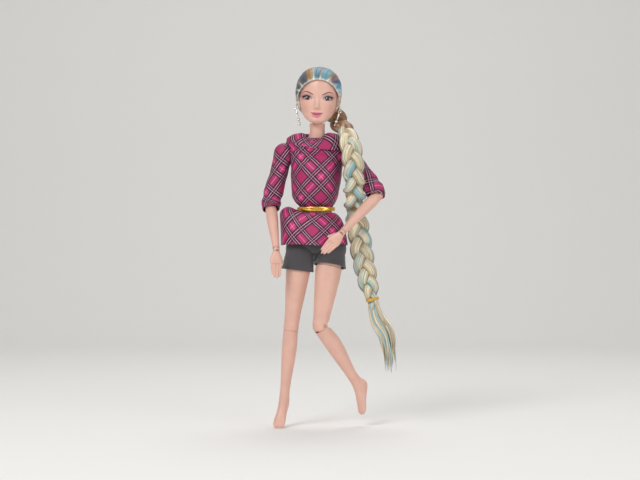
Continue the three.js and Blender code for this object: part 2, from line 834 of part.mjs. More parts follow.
// The braid ends in an elastic, with loose hair below it
function makeBraidEnd() {
  const curve = routeOf(braidRouteShares, braidSide, -braidFront, braidRise);
  const centre = curve.getPointAt(elasticShare);
  const tangent = curve.getTangentAt(elasticShare);
  const frame = new THREE.Matrix4().makeBasis(...sideways(tangent), tangent).setPosition(centre);
  const elastic = new THREE.TorusGeometry(1, elasticWire / elasticHalfWidth, smallSides / 2, roundSides)
    .scale(elasticHalfWidth, elasticHalfDepth, elasticHalfWidth)
    .applyMatrix4(frame);
  addMesh(doll, "braid_elastic", outward(elastic), finish(0xe3b52c, 0.4));
  const tailRoute = routeOf(tailRouteShares, braidSide, -braidFront, braidRise);
  const tailSizes = tailShares.map((share) => share * tailHalfWidth);
  const tail = tube(tailRoute, tailSizes, tailRings, smallSides, tailFlatness);
  addMesh(doll, "braid_tail", tail, finish(0xe0d3ac, 0.5));
}

// Earrings: a stud in the lobe with a ring, and a hanging string of stones on a ring of its own
const dropShares = [
  [0, 0],
  [0.01, 0.3],
  [0.06, 0.3],
  [0.1, 0.62],
  [0.2, 0.72],
  [0.34, 0.4],
  [0.4, 0.26],
  [0.44, 0.6],
  [0.5, 0.26],
  [0.56, 0.7],
  [0.63, 1],
  [0.7, 0.7],
  [0.76, 0.26],
  [0.84, 0.26],
  [0.88, 0.7],
  [0.94, 0.82],
  [0.99, 0.4],
  [1, 0],
];

const hoop = () => new THREE.TorusGeometry(ringRadius, ringWire, wireSides, linkSides);

function makeEarrings(frame) {
  earPlaces.forEach((place) => {
    const name = place.side < 0 ? "right" : "left";
    const { x, y, z } = lobe(place);
    const outside = x + place.side * (studRadius + earReach * lobeAcross);
    const ringDrop = studRadius + ringRadius - ringWire;
    const stud = join(
      ball(studRadius, outside, y, z, smallSides),
      rod("x", ringWire, ...sorted(outside, x - place.side * studRadius)).translate(0, y, z),
      hoop().rotateY(Math.PI / 2).translate(outside, y, z - ringDrop),
    );
    addMesh(frame, `${name}_earring_stud`, stud, finish(0xe8e8ec, 0.15, 0.8));
    const hook = [outside, y, z - ringDrop - ringRadius];
    const swing = jointFrame(frame, `${name}_earring_swing`, hook, "y", place.side * earringLean);
    const hang = ringRadius - ringWire - clearance;
    const drop = new THREE.LatheGeometry(
      dropShares.map(([along, round]) => new THREE.Vector2(round * dropRadius, -along * dropLength)),
      smallSides - 2,
    )
      .rotateX(Math.PI / 2)
      .translate(0, 0, -hang - ringRadius);
    const ring = hoop().rotateX(Math.PI / 2).translate(0, 0, -hang);
    addMesh(swing, `${name}_earring_drop`, join(outward(drop), ring), finish(0xf0f0f4, 0.12, 0.6));
  });
}

// Arms, each made in its joints' own frames: the limb hangs down -Z, its front is -Y
const upperArmShares = [
  [0, 1, 1, 1],
  [0.2, 1, 1.02, 1.02],
  [0.45, 0.95, 0.98, 0.98],
  [0.7, 0.88, 0.9, 0.92],
  [0.85, 0.82, 0.84, 0.86],
  [0.93, 0.72, 0.74, 0.76],
  [1, 0.6, 0.6, 0.6],
];
const forearmShares = [
  [0, 0.86, 0.86, 0.86],
  [0.1, 0.95, 0.95, 0.98],
  [0.25, 1, 1.02, 1],
  [0.5, 0.88, 0.92, 0.86],
  [0.75, 0.7, 0.74, 0.68],
  [0.9, 0.62, 0.62, 0.58],
  [1, 0.6, 0.58, 0.55],
];

// A pegged link: a ball with a slot for the next piece's tongue, on a peg that turns in the piece above
function pegLink(radius, tongue, pegRadius, pegLength, pin, open) {
  const peg = rod("z", pegRadius, 0, radius + pegLength);
  const head = rod("z", pegRadius + pin / 2, radius + pegLength - 2 * pin, radius + pegLength);
  const slot = tongueSlot(tongue + 2 * clearance, radius * tongueShare, 2 * radius, open.from, open.to);
  const link = cut(join(ball(radius, 0, 0, 0, linkSides), peg), slot, bore("x", pin, -radius, radius));
  return largest(join(link, head));
}

// The bore for a pegged link, with room for its head
const pegBore = (radius, pegRadius, pegLength, pin) =>
  join(
    bore("z", pegRadius, 0, radius + pegLength + clearance),
    bore("z", pegRadius + pin / 2, radius + pegLength - 2 * pin - clearance, radius + pegLength + clearance),
  );

// A tongue below a joint's pin, to be joined to the piece that hangs on it
const tongueOn = (radius, tongue, pin, reach) =>
  cut(
    join(
      rod("x", radius * tongueShare - clearance, -tongue / 2, tongue / 2, roundSides),
      block(0, 0, -reach / 2, tongue, radius * tongueShare, reach),
    ),
    bore("x", pin, -radius, radius),
  );

// Takes away the part of a limb's end that would meet its neighbour as the joint folds: a wedge between
// two directions about the x axis, in degrees from -Z towards +Y
function foldRelief(from, to, reach) {
  const shape = new THREE.Shape();
  shape.moveTo(0, 0);
  steps(4).forEach((step) => {
    const angle = turned(from + (to - from) * step);
    shape.lineTo(Math.sin(angle) * reach, -Math.cos(angle) * reach);
  });
  return alongX(shape, -reach, reach);
}

const hingePin = (axis, radius, reach) => rod(axis, radius, -reach, reach);
const pinPlastic = () => finish(0xe6c3a6, 0.35);

function makeArm(side) {
  const name = side < 0 ? "right" : "left";
  const pose = armPose[name];
  const shoulder = [side * shoulderSpread, 0, shoulderHeight];
  const swing = jointFrame(doll, `${name}_shoulder_swing`, shoulder, "x", pose.swing);
  const raise = jointFrame(swing, `${name}_shoulder_raise`, [0, 0, 0], "y", pose.raise);
  const swivel = jointFrame(raise, `${name}_elbow_swivel`, [0, 0, -upperArmLength], "z", pose.swivel);
  const bend = jointFrame(swivel, `${name}_elbow_bend`, [0, 0, 0], "x", pose.bend);
  const turn = jointFrame(bend, `${name}_wrist_turn`, [0, 0, -forearmLength], "z", pose.turn);
  const tilt = jointFrame(turn, `${name}_wrist_bend`, [0, 0, 0], "x", pose.tilt);

  const tongueRadius = shoulderBall * shoulderTongueShare;
  const slotWidth = shoulderTongue + 2 * clearance;
  const axleLength = shoulderSpread - shoulderFlangeSpread;
  const slot = join(
    bore("y", tongueRadius, -slotWidth / 2, slotWidth / 2, roundSides),
    block(side * overrun / 2, 0, 0, overrun, slotWidth, 2 * (tongueRadius + clearance)),
    block(0, 0, -overrun / 2, 2 * (tongueRadius + clearance), slotWidth, overrun),
    block(side * overrun / 2, 0, -overrun / 2, overrun, slotWidth, overrun),
  );
  const disc = join(
    cut(ball(shoulderBall), slot, bore("y", shoulderPin, -shoulderBall, shoulderBall)),
    rod("x", shoulderAxle, ...sorted(-side * (shoulderBall - wall / 2), -side * axleLength)),
    rod("x", shoulderFlange, ...sorted(-side * axleLength, -side * (axleLength - wall / 2))),
  );
  addMesh(swing, `${name}_shoulder_disc`, largest(disc), skin());
  const pin = hingePin("y", shoulderPin, shoulderBall * pinHeadShare);
  addMesh(swing, `${name}_shoulder_pin`, pin, pinPlastic());

  const tongueReach = shoulderBall + wall;
  const armTongue = cut(
    join(
      rod("y", tongueRadius - clearance, -shoulderTongue / 2, shoulderTongue / 2, roundSides),
      block(0, 0, -tongueReach / 2, tongueWidthShare * tongueRadius, shoulderTongue, tongueReach),
    ),
    bore("y", shoulderPin, -shoulderBall, shoulderBall),
  );
  const elbowBore = pegBore(elbowBall, elbowPeg, elbowPegLength, elbowPin).translate(0, 0, -upperArmLength);
  const upper = cut(
    limb({
      rows: upperArmShares,
      length: upperArmLength,
      halfWidth: upperArmHalfWidth,
      halfDepth: upperArmHalfWidth,
      from: limbTop,
      to: limbEnd,
      sides: armSides,
      count: limbRings - 1,
    }),
    socket(shoulderBall),
    socket(elbowBall, 0, 0, -upperArmLength),
    elbowBore,
  );
  addMesh(raise, `${name}_upper_arm`, largest(join(upper, armTongue)), skin());

  const elbow = pegLink(elbowBall, elbowTongue, elbowPeg, elbowPegLength, elbowPin, elbowSlot);
  addMesh(swivel, `${name}_elbow_link`, elbow, skin());
  addMesh(swivel, `${name}_elbow_pin`, hingePin("x", elbowPin, elbowBall * pinShare), pinPlastic());

  const wristBore = pegBore(wristBall, wristPeg, wristPegLength, wristPin).translate(0, 0, -forearmLength);
  const fore = cut(
    limb({
      rows: forearmShares,
      length: forearmLength,
      halfWidth: forearmHalfWidth,
      halfDepth: forearmHalfWidth,
      from: thighTop,
      to: forearmEnd,
      sides: armSides,
      count: limbRings,
    }),
    socket(elbowBall),
    foldRelief(-halfTurn, -elbowRelief, overrun),
    socket(wristBall, 0, 0, -forearmLength),
    wristBore,
  );
  const foreTongue = tongueOn(elbowBall, elbowTongue, elbowPin, elbowBall + wall);
  addMesh(bend, `${name}_forearm`, largest(join(fore, foreTongue)), skin());

  const wrist = pegLink(wristBall, wristTongue, wristPeg, wristPegLength, wristPin, wristSlot);
  addMesh(turn, `${name}_wrist_link`, wrist, skin());
  addMesh(turn, `${name}_wrist_pin`, hingePin("x", wristPin, wristBall * pinShare), pinPlastic());
  addMesh(tilt, `${name}_hand`, hand(side), skin());
}

// Hand: the palm, four fingers and a thumb, hanging down -Z with the back of the hand at -Y
const palmShares = [
  [0, 0.52, 1.1, 1.1],
  [0.25, 0.62, 1.12, 1.12],
  [0.5, 0.84, 1.06, 1.08],
  [0.8, 0.98, 0.95, 1],
  [1, 0.94, 0.7, 0.75],
];
const fingerShares = [
  { place: -0.72, length: 0.93, spread: -5, curl: 7 },
  { place: -0.24, length: 1.08, spread: -1.5, curl: 4 },
  { place: 0.24, length: 1, spread: 1.5, curl: 6 },
  { place: 0.7, length: 0.78, spread: 6, curl: 10 },
];
const digitShares = [
  [0, 1],
  [0.35, 1.02],
  [0.7, 0.9],
  [0.92, 0.74],
  [1, 0.35],
];

function digit(length, radius) {
  return limb({
    rows: digitShares.map(([place, share]) => [place, share, share, share * digitFlatness]),
    length,
    halfWidth: radius,
    halfDepth: radius,
    sides: digitSides,
    count: 2,
  });
}

function hand(side) {
  const palm = limb({
    rows: palmShares,
    length: palmLength,
    halfWidth: palmHalfWidth,
    halfDepth: palmHalfDepth,
    from: palmTop,
    sides: palmSides,
    count: capRings,
  });
  // The first finger lies next to the thumb, on the side towards the body
  const fingers = fingerShares.map(({ place, length, spread, curl }) =>
    digit(length * fingerLength + fingerRadius, fingerRadius)
      .rotateX(turned(curl))
      .rotateY(turned(side * spread))
      .translate(side * place * palmHalfWidth, 0, fingerRadius - palmLength),
  );
  const across = -side * palmHalfWidth * thumbAcross;
  const thumb = digit(thumbLength, thumbRadius)
    .rotateX(turned(thumbCurl))
    .rotateY(turned(side * thumbSpread))
    .translate(across, palmHalfDepth * thumbForward, -palmLength * thumbDown);
  const tongue = tongueOn(wristBall, wristTongue, wristPin, wristBall + wall / 2);
  return largest(join(cut(join(palm, ...fingers, thumb), socket(wristBall)), tongue));
}

// Legs
const thighShares = [
  [0, 1.04, 0.96, 0.96],
  [0.15, 1.06, 0.98, 1],
  [0.3, 1.0, 1.0, 1.02],
  [0.5, 0.88, 0.9, 0.92],
  [0.7, 0.74, 0.76, 0.78],
  [0.88, 0.65, 0.64, 0.64],
  [1, 0.62, 0.6, 0.58],
];
const thighForm = {
  rows: thighShares,
  length: thighLength,
  halfWidth: thighHalfWidth,
  halfDepth: thighHalfDepth,
};
// From the knee to the toes: the last three tenths are the heel, the arch and the toes
const shinShares = [
  [0, 0.98, 0.84, 0.84],
  [0.086, 1.0, 0.84, 0.94],
  [0.21, 1.0, 0.8, 1.14],
  [0.358, 0.9, 0.72, 1.06],
  [0.506, 0.74, 0.62, 0.8],
  [0.63, 0.66, 0.56, 0.66],
  [0.7, 0.68, 0.58, 0.78],
  [0.74, 0.7, 0.66, 1.02],
  [0.784, 0.7, 0.8, 1.12],
  [0.82, 0.68, 0.98, 0.92],
  [0.858, 0.68, 1.16, 0.42],
  [0.9, 0.74, 1.34, -0.2],
  [0.944, 0.8, 1.52, -0.66],
  [0.979, 0.74, 1.7, -1.02],
  [1, 0.5, 1.74, -1.36],
];

function makeLeg(side) {
  const name = side < 0 ? "right" : "left";
  const pose = legPose[name];
  const swing = jointFrame(doll, `${name}_hip_swing`, [side * hipSpread, 0, -hipDrop], "x", pose.swing);
  const spread = jointFrame(swing, `${name}_hip_spread`, [0, 0, 0], "y", pose.spread);
  const twist = jointFrame(spread, `${name}_thigh_twist`, [0, 0, 0], "z", pose.twist);
  const bend = jointFrame(twist, `${name}_knee_bend`, [0, 0, -thighLength], "x", pose.bend);

  const hubEnd = Math.sqrt(hipBall ** 2 - hipHub ** 2) - clearance / 2;
  const axleRoom = hipAxleReach + clearance;
  const hub = cut(
    join(
      rod("x", hipHub, ...sorted(-side * hubEnd, -side * (hubEnd - hipHubLength)), roundSides),
      block(-side * (hubEnd - hipHubLength) / 2, 0, 0, hubEnd - hipHubLength + wall, hipTongue, hipHub),
      rod("y", hipHub, -hipTongue / 2, hipTongue / 2, roundSides),
    ),
    bore("y", hipPin, -hipHub, hipHub),
    bore("x", hipAxle, -axleRoom, axleRoom).translate(-side * hipSpread, 0, 0),
  );
  addMesh(swing, `${name}_hip_disc`, largest(hub), skin());

  const slotHeight = 2 * (hipHub + clearance);
  const slot = join(
    bore("y", hipHub, -hipTongue / 2 - clearance, hipTongue / 2 + clearance, roundSides),
    block(-side * overrun / 2, 0, 0, overrun, hipTongue + 2 * clearance, slotHeight),
  );
  const sweep = hipSweep(side);
  const capEnd = swivelDrop - clearance;
  const peg = rod("z", thighPeg, -capEnd - thighPegLength, -capEnd + wall, roundSides);
  const cap = cut(
    join(
      ball(hipBall),
      limb({ ...thighForm, from: thighTop, to: capEnd / thighLength, count: capRings }),
      peg,
    ),
    slot,
    sweep,
    bore("y", hipPin, -overrun, overrun),
  );
  addMesh(spread, `${name}_thigh_cap`, largest(cap), skin());
  addMesh(spread, `${name}_hip_pin`, hingePin("y", hipPin, hipBall * pinHeadShare), pinPlastic());

  const kneeAt = (geometry) => geometry.translate(0, 0, -thighLength);
  const kneeEye = kneeBall * tongueShare;
  const kneeRoom = tongueSlot(kneeTongue + 2 * clearance, kneeEye, 2 * kneeBall, kneeSlot.from, kneeSlot.to);
  const thigh = cut(
    join(
      cut(
        limb({ ...thighForm, from: swivelDrop / thighLength, count: limbRings }),
        kneeAt(foldRelief(0, halfTurn - kneeRelief, 2 * kneeBall)),
      ),
      kneeAt(ball(kneeBall)),
    ),
    bore("z", thighPeg, -capEnd - thighPegLength - clearance, 0, roundSides),
    kneeAt(kneeRoom),
    kneeAt(block(0, 0, -kneeBall - overrun / 2, overrun, overrun, overrun)),
    kneeAt(bore("x", kneePin, -overrun, overrun)),
  );
  addMesh(twist, `${name}_thigh`, largest(thigh), skin());
  addMesh(twist, `${name}_knee_pin`, kneeAt(hingePin("x", kneePin, kneeBall * pinShare)), pinPlastic());

  const shin = cut(
    limb({
      rows: shinShares,
      length: shinLength + footDrop,
      halfWidth: shinHalfWidth,
      halfDepth: shinHalfDepth,
      sides: shinSides,
      count: shinRings,
    }),
    socket(kneeBall),
    foldRelief(kneeRelief, halfTurn, 2 * kneeBall),
    foldRelief(-halfTurn, 2 * kneeRelief - halfTurn, 2 * kneeBall),
  );
  const leg = join(shin, tongueOn(kneeBall, kneeTongue, kneePin, kneeBall + wall));
  addMesh(bend, `${name}_shin_and_foot`, largest(leg), skin());
}

// The room that the hip's hub sweeps inside the thigh's ball as the leg spreads
function hipSweep(side) {
  const shape = new THREE.Shape();
  const reach = 2 * hipBall;
  shape.moveTo(0, 0);
  steps(sweepSteps).forEach((step) => {
    const angle = turned(THREE.MathUtils.lerp(-hubSweep, hubSweep, step));
    shape.lineTo(-side * Math.cos(angle) * reach, Math.sin(angle) * reach);
  });
  return new THREE.ExtrudeGeometry(shape, { depth: 2 * (hipHub + clearance), bevelEnabled: false })
    .translate(0, 0, -hipHub - clearance)
    .rotateX(Math.PI / 2);
}

// A geometry of the doll's own frame, told in a joint's frame, and the other way round
function inFrame(geometry, frame) {
  frame.updateWorldMatrix(true, false);
  return geometry.clone().applyMatrix4(frame.matrixWorld.clone().invert());
}

function inDoll(geometry, frame) {
  frame.updateWorldMatrix(true, false);
  return geometry.clone().applyMatrix4(frame.matrixWorld);
}

// Bodice: rows of [place, right, left, front, back] in shares of its half sizes, from its lower edge up
const bodiceShares = [
  [0, 0.575, 0.575, 0.535, 0.515],
  [0.054, 0.56, 0.56, 0.52, 0.5],
  [0.102, 0.68, 0.64, 0.67, 0.59],
  [0.186, 0.81, 0.73, 0.81, 0.64],
  [0.271, 0.84, 0.765, 0.92, 0.66],
  [0.39, 0.86, 0.82, 1.04, 0.66],
  [0.492, 0.88, 0.85, 1.08, 0.67],
  [0.593, 0.87, 0.87, 1.01, 0.7],
  [0.695, 0.93, 0.95, 0.89, 0.71],
  [0.797, 1.04, 1.04, 0.77, 0.69],
  [0.881, 1.03, 1.03, 0.66, 0.64],
  [0.949, 1.01, 0.84, 0.57, 0.6],
  [0.985, 0.86, 0.7, 0.55, 0.585],
  [1, 0.6, 0.6, 0.53, 0.57],
];
const bodicePlaces = bodiceShares.map(([place]) => place);
const drapeShares = [0.82, 0.68, 0.53]; // heights of the folds that fall from the right shoulder
const drapeSlope = 0.28;

function drape(x, z) {
  const fall = z + drapeSlope * x;
  return drapeShares.reduce((sum, share) => sum + foldDepth * bell(fall - share * bodiceTop, foldWidth), 0);
}

function bodicePoint(ease) {
  const read = reader(bodiceShares);
  return (u, angle) => {
    const [right, left, front, back] = read(u);
    const z = u * (bodiceTop + bodiceDrop) - bodiceDrop;
    const wide = [right, left].map((share) => share * bodiceHalfWidth + ease);
    const deep = [front, back].map((share) => share * bodiceHalfDepth + ease);
    const point = ovalPoint(angle, z, ...wide, ...deep);
    if (point.y < 0) point.y -= drape(point.x, z) * Math.cos(angle);
    return point.add(new THREE.Vector3(neckLean * u, 0, 0));
  };
}

const blouseCloth = () => finish(0xb52a6b, 0.6);

function makeBlouse() {
  const armholes = bothSides.map((side) => {
    const ends = sorted(side * armholeSpread, side * overrun);
    return bore("x", sleeveHead, ...ends, roundSides).translate(0, 0, shoulderHeight);
  });
  const bodice = cut(sheet(bodicePoint(0), bodicePlaces, clothSides), ...armholes);
  addMesh(doll, "blouse_bodice", largest(bodice), blouseCloth());

  const at = bodicePoint(clearance);
  const filled = loft(bodicePlaces.map((u) => angles(clothSides).map((angle) => at(u, angle))));
  const halves = [collarHalfWidth, collarHalfWidth, collarHalfDepth, collarHalfDepth];
  const collarRings = angles(clothSides).map((angle) => {
    const front = Math.max(Math.cos(angle), 0) ** 2;
    const centre = ovalPoint(angle, collarHeight - collarDip * front, ...halves);
    const outside = new THREE.Vector3(Math.sin(angle), -Math.cos(angle), 0);
    return angles(smallSides).map((turn) =>
      centre
        .clone()
        .addScaledVector(outside, Math.cos(turn) * collarRoll)
        .add(new THREE.Vector3(neckLean, 0, Math.sin(turn) * collarRoll * collarHeightShare)),
    );
  });
  addMesh(doll, "blouse_collar", largest(cut(loft(collarRings, true), filled)), blouseCloth());
}


// Peplum: how far out and down it goes from the belt to its hem, on its plain sides and on the puffed right
const peplumShares = [
  [0, 0, 0],
  [0.15, 0.27, 0.07],
  [0.3, 0.52, 0.19],
  [0.42, 0.68, 0.32],
  [0.6, 0.83, 0.53],
  [0.8, 0.95, 0.78],
  [1, 1, 1],
];
const puffShares = [
  [0, 0, 0],
  [0.06, 0.14, 0],
  [0.15, 0.36, -0.16],
  [0.3, 0.76, -0.17],
  [0.42, 1.06, -0.03],
  [0.6, 1.08, 0.28],
  [0.8, 1.03, 0.64],
  [1, 1, 1],
];

function makePeplum() {
  const [plain, puffed] = [reader(peplumShares), reader(puffShares)];
  const at = (u, angle) => {
    const puff = Math.max(-Math.sin(angle), 0) ** puffNarrow;
    const [[out, down], [puffOut, puffDown]] = [plain(u), puffed(u)];
    const reach = THREE.MathUtils.lerp(out, puffOut, puff);
    const drop = THREE.MathUtils.lerp(down, puffDown, puff);
    const z = -peplumTop - drop * (peplumHem - peplumTop);
    const size = (waist, hem) => waist + (hem - waist) * reach;
    const halves = [
      size(beltHalfWidth, peplumRight),
      size(beltHalfWidth, peplumLeft),
      size(beltHalfDepth, peplumFront),
      size(beltHalfDepth, peplumBack),
    ];
    const fold = 1 + ((foldDepth * u) / peplumFront) * (1 + Math.sin(peplumFolds * angle + 1));
    return ovalPoint(angle, z, ...halves.map((half) => half * fold));
  };
  addMesh(doll, "blouse_peplum", sheet(at, steps(peplumRings), peplumSides), blouseCloth());
}

// Sleeve: a round head that follows the shoulder's ball, and a tube that covers the bent elbow, with a cuff
const sleeveShares = [
  [0, 1.08],
  [0.22, 1.02],
  [0.5, 1],
  [0.72, 1.05],
  [0.9, 1.06],
  [1, 0.96],
];

// A sleeve's middle line and its heading in the upper arm's frame, at a length below the shoulder
function sleeveLine(name) {
  const { bend, swivel } = armPose[name];
  const reach = sleeveTurn[name];
  const elbow = new THREE.Vector3(0, 0, -upperArmLength);
  const bent = new THREE.Euler(turned(bend), 0, turned(swivel), "ZYX");
  const above = elbow.clone().setZ(reach - upperArmLength);
  const below = elbow.clone().addScaledVector(new THREE.Vector3(0, 0, -1).applyEuler(bent), reach);
  const curve = new THREE.QuadraticBezierCurve3(above, elbow, below);
  return (length) => {
    const past = length - upperArmLength + reach;
    if (past <= 0) return [new THREE.Vector3(0, 0, -length), new THREE.Vector3(0, 0, -1)];
    const share = Math.min(past / (2 * reach), 1);
    return [curve.getPoint(share), curve.getTangent(share)];
  };
}

function sleeveTube(name, ease, reach) {
  const read = reader(sleeveShares);
  const line = sleeveLine(name);
  const length = upperArmLength + sleeveBeyond[name];
  const cuffTop = length - cuffWidth;
  const rings = sleevePlaces.map((place) => {
    const cuff = smoothstep(place * length, cuffTop - cloth, cuffTop);
    const radius = read(place)[0] * sleeveHalfWidth + ease + cuffRise * cuff;
    const [centre, heading] = line(place * (length + reach));
    const across = new THREE.Vector3(1, 0, 0);
    across.addScaledVector(heading, -across.dot(heading)).normalize();
    const front = new THREE.Vector3().crossVectors(heading, across);
    return angles(armSides).map((angle) => {
      const fold = (foldDepth / 2) * Math.sin(2 * angle + sleeveFoldTurn * place) * Math.sin(Math.PI * place);
      return centre
        .clone()
        .addScaledVector(across, Math.sin(angle) * (radius + fold))
        .addScaledVector(front, Math.cos(angle) * (radius + fold));
    });
  });
  return loft(rings);
}

function makeSleeve(side) {
  const name = side < 0 ? "right" : "left";
  const raise = doll.getObjectByName(`${name}_shoulder_raise`);
  const inside = side * (armholeSpread + 2 * clearance - overrun);
  const chest = block(inside, 0, shoulderHeight, 2 * overrun, 4 * overrun, 4 * overrun);
  const sleeve = cut(
    join(ball(sleeveHead, 0, 0, 0, armSides + 1), sleeveTube(name, 0, 0)),
    ball(sleeveHead - cloth),
    sleeveTube(name, -cloth, clearance),
    inFrame(chest, raise),
  );
  addMesh(raise, `${name}_sleeve`, largest(sleeve), blouseCloth());
}

// Shorts: a pair of legs that ride on the thighs, and a seat that goes over their round tops
function shortsLeg(side, ease) {
  const over = shortsEase + cloth + ease;
  const length = shortsHem + Math.abs(ease);
  const rings = steps(2).map((step) => {
    const [near, far] = [shortsInnerFlare, shortsFlare].map((flare) => thighHalfWidth + over + flare * step);
    const [right, left] = side < 0 ? [far, near] : [near, far];
    const deep = thighHalfDepth + over;
    return angles(bodySides).map((angle) => ovalPoint(angle, -step * length, right, left, deep, deep));
  });
  return join(ball(hipBall + over), loft(rings));
}

const shortsCloth = () => finish(0x4a494c, 0.95);

function makeShorts() {
  const body = trunk(clearance);
  const legs = bothSides.map((side) => {
    const name = side < 0 ? "right" : "left";
    const frame = doll.getObjectByName(`${name}_hip_spread`);
    const leg = cut(shortsLeg(side, 0), shortsLeg(side, -cloth), inFrame(body, frame));
    addMesh(frame, `${name}_shorts_leg`, largest(leg), shortsCloth());
    return inDoll(shortsLeg(side, clearance), frame);
  });
  const above = block(0, 0, overrun - shortsTop, 4 * overrun, 4 * overrun, 2 * overrun);
  const upTo = (crotchDrop - shortsTop + cloth) / trunkHeight;
  const seat = cut(trunk(shortsEase + cloth, 0, upTo), trunk(shortsEase, 0, upTo), above, ...legs);
  addMesh(doll, "shorts_seat", largest(seat), shortsCloth());
}

// Belt: a band round the blouse's waist, with a long curved buckle in front
function makeBelt() {
  const halves = [beltHalfWidth, beltHalfWidth, beltHalfDepth, beltHalfDepth];
  const beltAt = (u, angle) => ovalPoint(angle, (u - 1 / 2) * beltHeight - beltDrop, ...halves);
  const band = sheet(beltAt, [0, 1], clothSides, beltThickness);
  addMesh(doll, "belt_band", band, finish(0xd9a92b, 0.4));
  const onBelt = ([x, z], out) =>
    ovalPoint(Math.asin(x / beltHalfWidth), z - beltDrop, ...halves.map((half) => half + out));
  const rings = angles(clothSides).map((turn) => {
    const [across, up] = [Math.cos(turn), Math.sin(turn)];
    const height = buckleHalfHeight * (buckleWaistShare + (1 - buckleWaistShare) * Math.abs(across));
    const spots = steps(2).map((share) => [
      THREE.MathUtils.lerp(eyeHalfWidth, buckleHalfWidth, share) * across,
      THREE.MathUtils.lerp(eyeHalfHeight, height, share) * up,
    ]);
    return [
      ...spots.map((spot) => onBelt(spot, clearance + buckleThickness)),
      ...spots.reverse().map((spot) => onBelt(spot, clearance)),
    ];
  });
  addMesh(doll, "belt_buckle", loft(rings, true), finish(0xe2b437, 0.25, 0.8));
}

makeTrunk();
const turnFrame = jointFrame(doll, "neck_turn", [neckLean, 0, neckTop + knobRise], "z");
const nodFrame = jointFrame(turnFrame, "neck_nod", [0, 0, 0], "x");
const headFrame = jointFrame(nodFrame, "head_set", [0, 0, 0], "y", headTilt);
makeHead(turnFrame, headFrame);
makeHair(headFrame);
makeEarrings(headFrame);
makeBraid();
makeBraidEnd();
bothSides.forEach(makeArm);
bothSides.forEach(makeLeg);
makeBlouse();
makePeplum();
bothSides.forEach(makeSleeve);
makeShorts();
makeBelt();

export default doll;
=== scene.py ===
"""Dresses the jointed fashion doll: smooth skin, painted face, rooted hair, braid and sewn clothes.

Sizes are in millimetres and turn into metres when a mesh is finished. The doll faces -Y, its own left
side is at +X, and the origin is the middle of its waist.
"""

import json
import logging
import math
from collections.abc import Sequence
from dataclasses import dataclass, field
from enum import Enum

import bpy
import numpy as np
from mathutils import Matrix, Vector

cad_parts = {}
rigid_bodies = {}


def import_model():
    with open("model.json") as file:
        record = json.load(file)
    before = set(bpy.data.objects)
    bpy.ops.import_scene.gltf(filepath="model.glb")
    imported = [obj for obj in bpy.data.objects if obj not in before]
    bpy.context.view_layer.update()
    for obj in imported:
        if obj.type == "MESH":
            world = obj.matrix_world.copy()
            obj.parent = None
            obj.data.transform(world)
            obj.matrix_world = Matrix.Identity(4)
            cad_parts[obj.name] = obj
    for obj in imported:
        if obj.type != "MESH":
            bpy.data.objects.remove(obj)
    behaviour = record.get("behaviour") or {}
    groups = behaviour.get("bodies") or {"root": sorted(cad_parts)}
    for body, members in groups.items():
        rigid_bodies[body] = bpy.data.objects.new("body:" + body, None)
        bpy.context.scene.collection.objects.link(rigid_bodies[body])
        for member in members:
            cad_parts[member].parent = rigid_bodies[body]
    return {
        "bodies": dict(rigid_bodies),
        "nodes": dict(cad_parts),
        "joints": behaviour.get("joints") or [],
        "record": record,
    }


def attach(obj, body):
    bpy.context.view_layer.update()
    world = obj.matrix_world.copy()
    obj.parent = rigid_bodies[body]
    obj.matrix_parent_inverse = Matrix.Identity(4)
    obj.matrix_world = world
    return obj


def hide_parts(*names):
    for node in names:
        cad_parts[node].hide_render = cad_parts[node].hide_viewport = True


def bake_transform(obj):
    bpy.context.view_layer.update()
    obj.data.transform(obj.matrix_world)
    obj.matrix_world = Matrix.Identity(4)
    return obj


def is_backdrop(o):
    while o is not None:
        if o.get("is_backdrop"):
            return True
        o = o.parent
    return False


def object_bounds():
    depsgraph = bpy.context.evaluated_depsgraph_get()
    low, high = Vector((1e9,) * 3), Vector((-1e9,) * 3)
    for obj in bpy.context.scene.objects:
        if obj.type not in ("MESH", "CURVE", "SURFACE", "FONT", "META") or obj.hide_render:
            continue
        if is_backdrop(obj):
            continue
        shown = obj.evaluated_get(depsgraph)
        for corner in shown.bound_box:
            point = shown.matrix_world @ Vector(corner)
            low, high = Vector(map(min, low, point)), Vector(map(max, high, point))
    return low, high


MM = 0.001
log = logging.getLogger("doll")


class Side(Enum):
    """The doll's own sides, with the sign of X that each lies on."""

    RIGHT = -1
    LEFT = 1

    @property
    def label(self) -> str:
        """The side's name, as the nodes begin."""
        return self.name.lower()


@dataclass(frozen=True)
class ArmPose:
    """Angles of one arm at rest, in degrees."""

    swing: float
    raised: float
    swivel: float
    bend: float
    turn: float
    tilt: float


@dataclass(frozen=True)
class LegPose:
    """Angles of one leg at rest, in degrees."""

    swing: float
    spread: float
    twist: float
    bend: float


ARM_POSES = {
    Side.RIGHT: ArmPose(7, 15.3, 25.9, -46.3, -12, 20),
    Side.LEFT: ArmPose(-16.2, -33.7, -79.4, -74.5, 97, 18),
}
LEG_POSES = {
    Side.RIGHT: LegPose(-1.8, 7, -12, 6),
    Side.LEFT: LegPose(-11.8, 8.2, -54, 49),
}
NECK_TOP = 69.0
KNOB_RISE = 3.4
NECK_LEAN = 1.0
HEAD_TILT = 3.0
SHOULDER_HEIGHT = 45.0
SHOULDER_SPREAD = 26.0
HIP_DROP = 33.0
HIP_SPREAD = 12.5
UPPER_ARM = 43.0
FOREARM = 45.0
THIGH = 64.0


